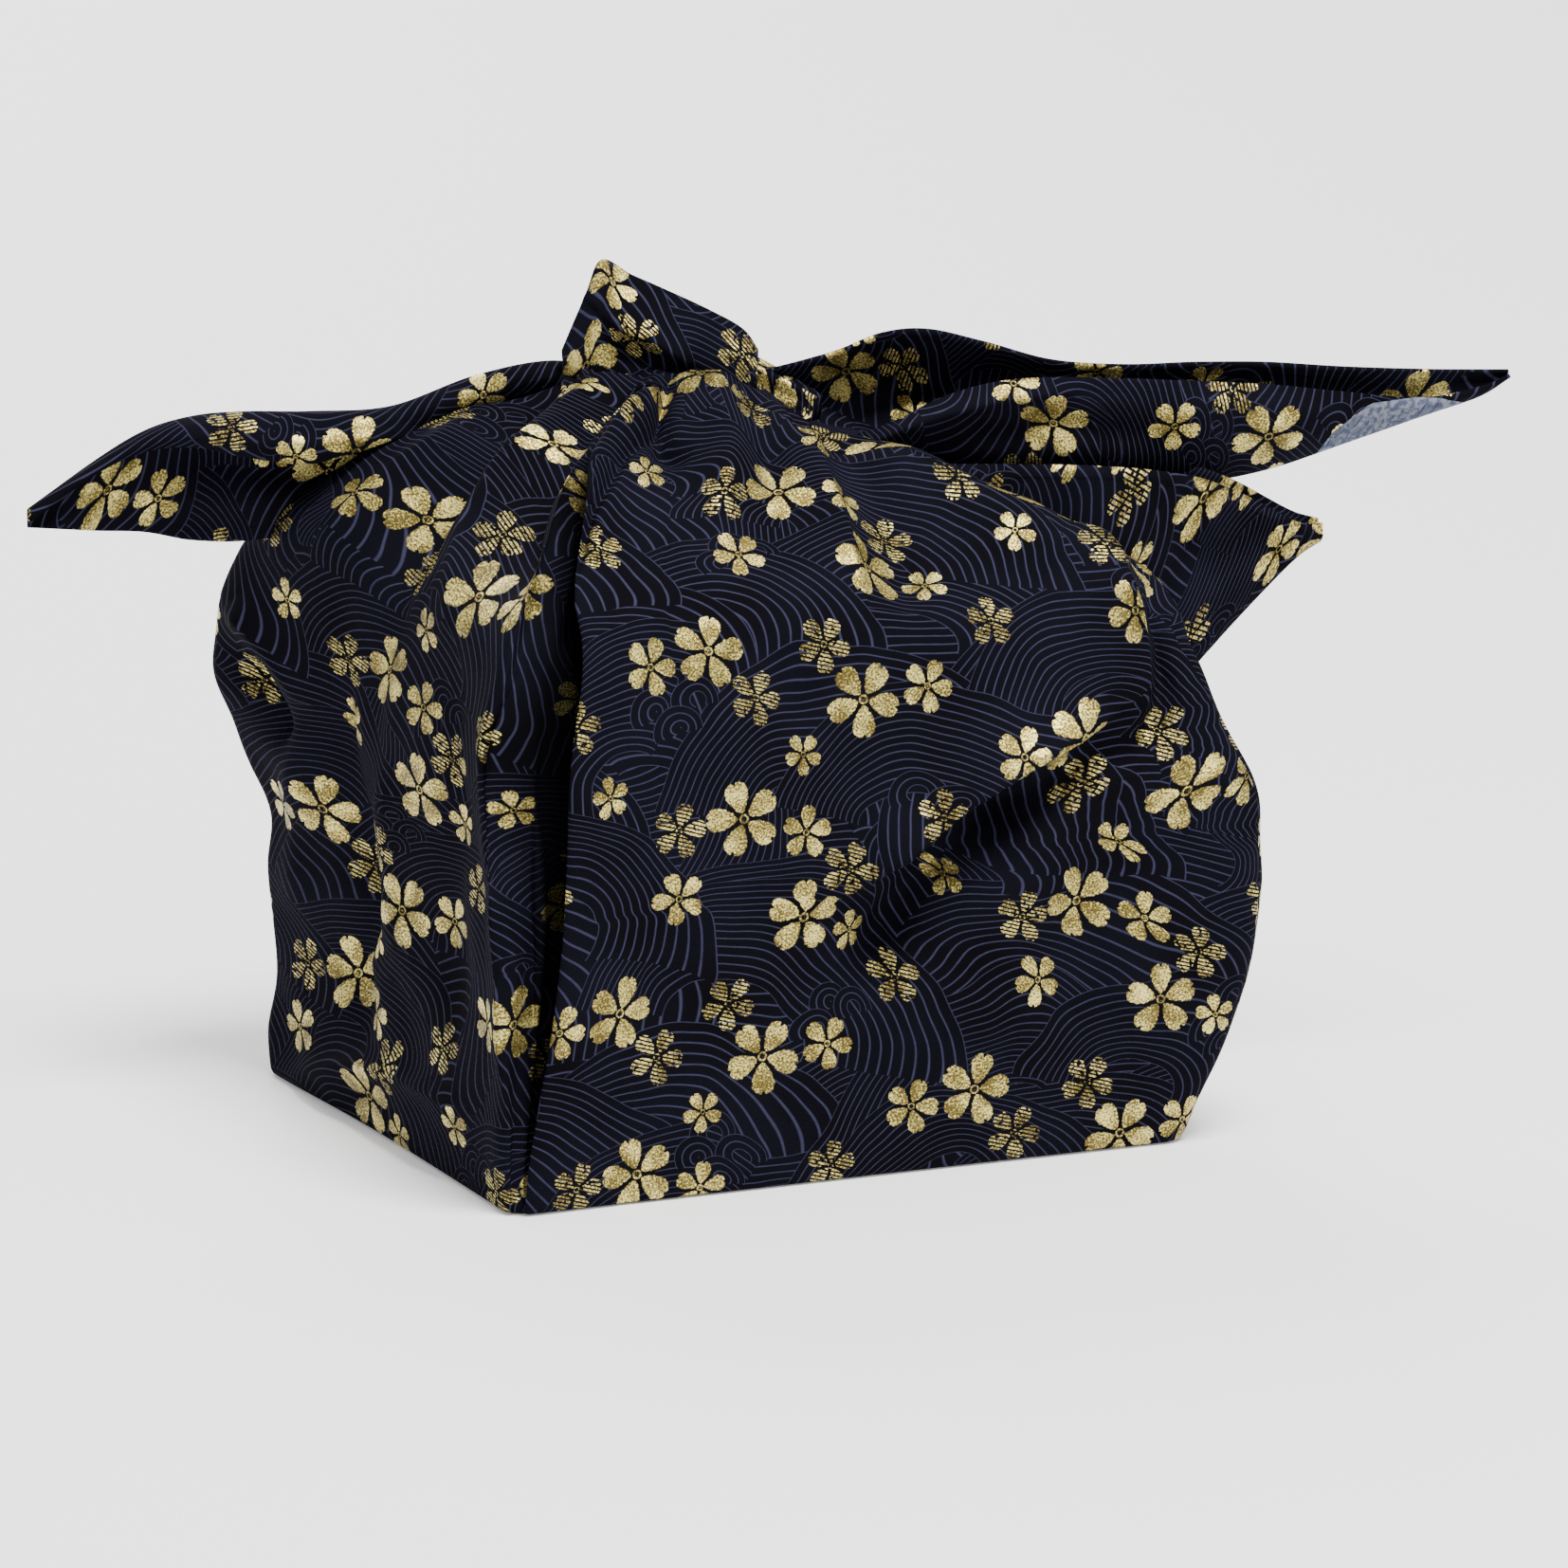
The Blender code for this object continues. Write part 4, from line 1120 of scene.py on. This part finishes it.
def cotton_bump(start, place, gold, grain):
    """The weave is one sine across times one sine up. Inside the hem's band the cloth lies HEM_HEIGHT lower."""
    weave = (place.part(0) * (2 * np.pi / WEAVE_PITCH)).math("SINE")
    weave = weave * (place.part(1) * (2 * np.pi / WEAVE_PITCH)).math("SINE")
    edge = fact(start, "hem")
    inner = edge.soft(*HEM_EDGES) * (edge > 0.001)
    height = weave * WEAVE_HEIGHT + gold * (GOLD_HEIGHT + grain * GRAIN_HEIGHT) - inner * HEM_HEIGHT
    return start.node("ShaderNodeBump", None, {"Strength": BUMP_STRENGTH, "Distance": MM, "Height": height})


def printed_cotton():
    """The material of every piece. It reads the print's own map and the facts stored with the cloth."""
    material = bpy.data.materials.new("printed_cotton")
    material.use_nodes = True
    tree = material.node_tree
    shader = tree.nodes["Principled BSDF"]
    start = Wire(tree)
    place = start.node("ShaderNodeUVMap", {"uv_map": "print"}).sized(PRINT_UNIT)
    colour, gold, grain = cotton_colour(start, place)
    for name, value in (
        ("Base Color", colour), ("Roughness", gold.mix(COTTON_ROUGHNESS, GOLD_ROUGHNESS)),
        ("Metallic", gold * GOLD_METALLIC), ("Normal", cotton_bump(start, place, gold, grain)),
    ):
        tree.links.new(value.socket, shader.inputs[name])
    shader.inputs["Specular IOR Level"].default_value = COTTON_GLOSS
    print("the cotton's material has", len(tree.nodes), "nodes")
    return material


cotton = printed_cotton()
for piece in (bundle, right_tail, left_tail, wing, ear, band):
    piece.data.materials.append(cotton)

# %% [markdown]
# ## The floor
# The photograph is a studio shot on white. A flat plane would end in a hard line behind the bundle, so this wide pale
# floor curves up far behind, as a studio's paper roll does. It glows a little, because the real one was lit brightly.

# %% Floor
FLOOR_BEND = 6.0
FLOOR_GAP = 0.0002
FLOOR_FINISH = (
    ("Base Color", (0.93, 0.93, 0.93, 1)), ("Roughness", 0.9), ("Emission Color", (1, 1, 1, 1)),
    ("Emission Strength", 0.18),
)


def make_floor():
    """A plane that rises by a quarter of the square of the distance beyond FLOOR_BEND."""
    x, y = np.meshgrid(np.linspace(-6, 6, 41), np.linspace(-4, 10, 61))
    z = np.clip(y - FLOOR_BEND, 0, None) ** 2 * 0.25 - FLOOR_GAP
    points = np.stack([x, y, z], -1)
    quads = quad_corners(np.arange(x.size).reshape(x.shape)).reshape(-1, 4)
    mesh = bpy.data.meshes.new("floor")
    mesh.from_pydata(points.reshape(-1, 3).tolist(), [], quads.tolist())
    floor = bpy.data.objects.new("floor", mesh)
    bpy.context.scene.collection.objects.link(floor)
    paint = bpy.data.materials.new("pale_floor")
    paint.use_nodes = True
    for socket, value in FLOOR_FINISH:
        paint.node_tree.nodes["Principled BSDF"].inputs[socket].default_value = value
    mesh.materials.append(paint)
    return floor


print("the floor has", len(make_floor().data.polygons), "faces")

# %% [markdown]
# ## The light
# The main light is soft and stands high in front, a little to the right. A weak one on the right opens the shadows,
# and one from behind on the left draws the folds of the left side. A picture of a studio could light it as well, but
# a plain pale room does the same for so dull a cloth.

# %% Light
# The columns are the name, the place to the viewer's right, up and towards the viewer, the width and the power.
LIGHTS = (
    ("key_light", (0.45, 1.7, 1.10), 0.8, 86),
    ("fill_light", (0.6, 0.8, 1.8), 1.2, 6),
    ("back_light", (-0.6, 1.4, -1.2), 1.2, 36),
)
LIT_PLACE = np.array([0, 0, 0.08])
ROOM_STRENGTH = 0.66


def make_light(name, place, size, power):
    """A square soft light at a place given by the viewer's right, up and towards, aimed at the bundle."""
    right, up, forward = viewer()
    spot = right * place[0] + up * place[1] - forward * place[2]
    light = bpy.data.objects.new(name, bpy.data.lights.new(name, "AREA"))
    light.data.size = size
    light.data.energy = power
    bpy.context.scene.collection.objects.link(light)
    out = (spot - LIT_PLACE) / np.linalg.norm(spot - LIT_PLACE)
    side = np.cross([0, 0, 1.0], out)
    side /= np.linalg.norm(side)
    light.matrix_world = stand(side, np.cross(out, side), out, spot)


for light in LIGHTS:
    make_light(*light)
room = bpy.data.worlds.new("pale_room")
room.use_nodes = True
room.node_tree.nodes["Background"].inputs["Color"].default_value = (1, 1, 1, 1)
room.node_tree.nodes["Background"].inputs["Strength"].default_value = ROOM_STRENGTH
bpy.context.scene.world = room
print(len(LIGHTS), "soft lights in a pale room")
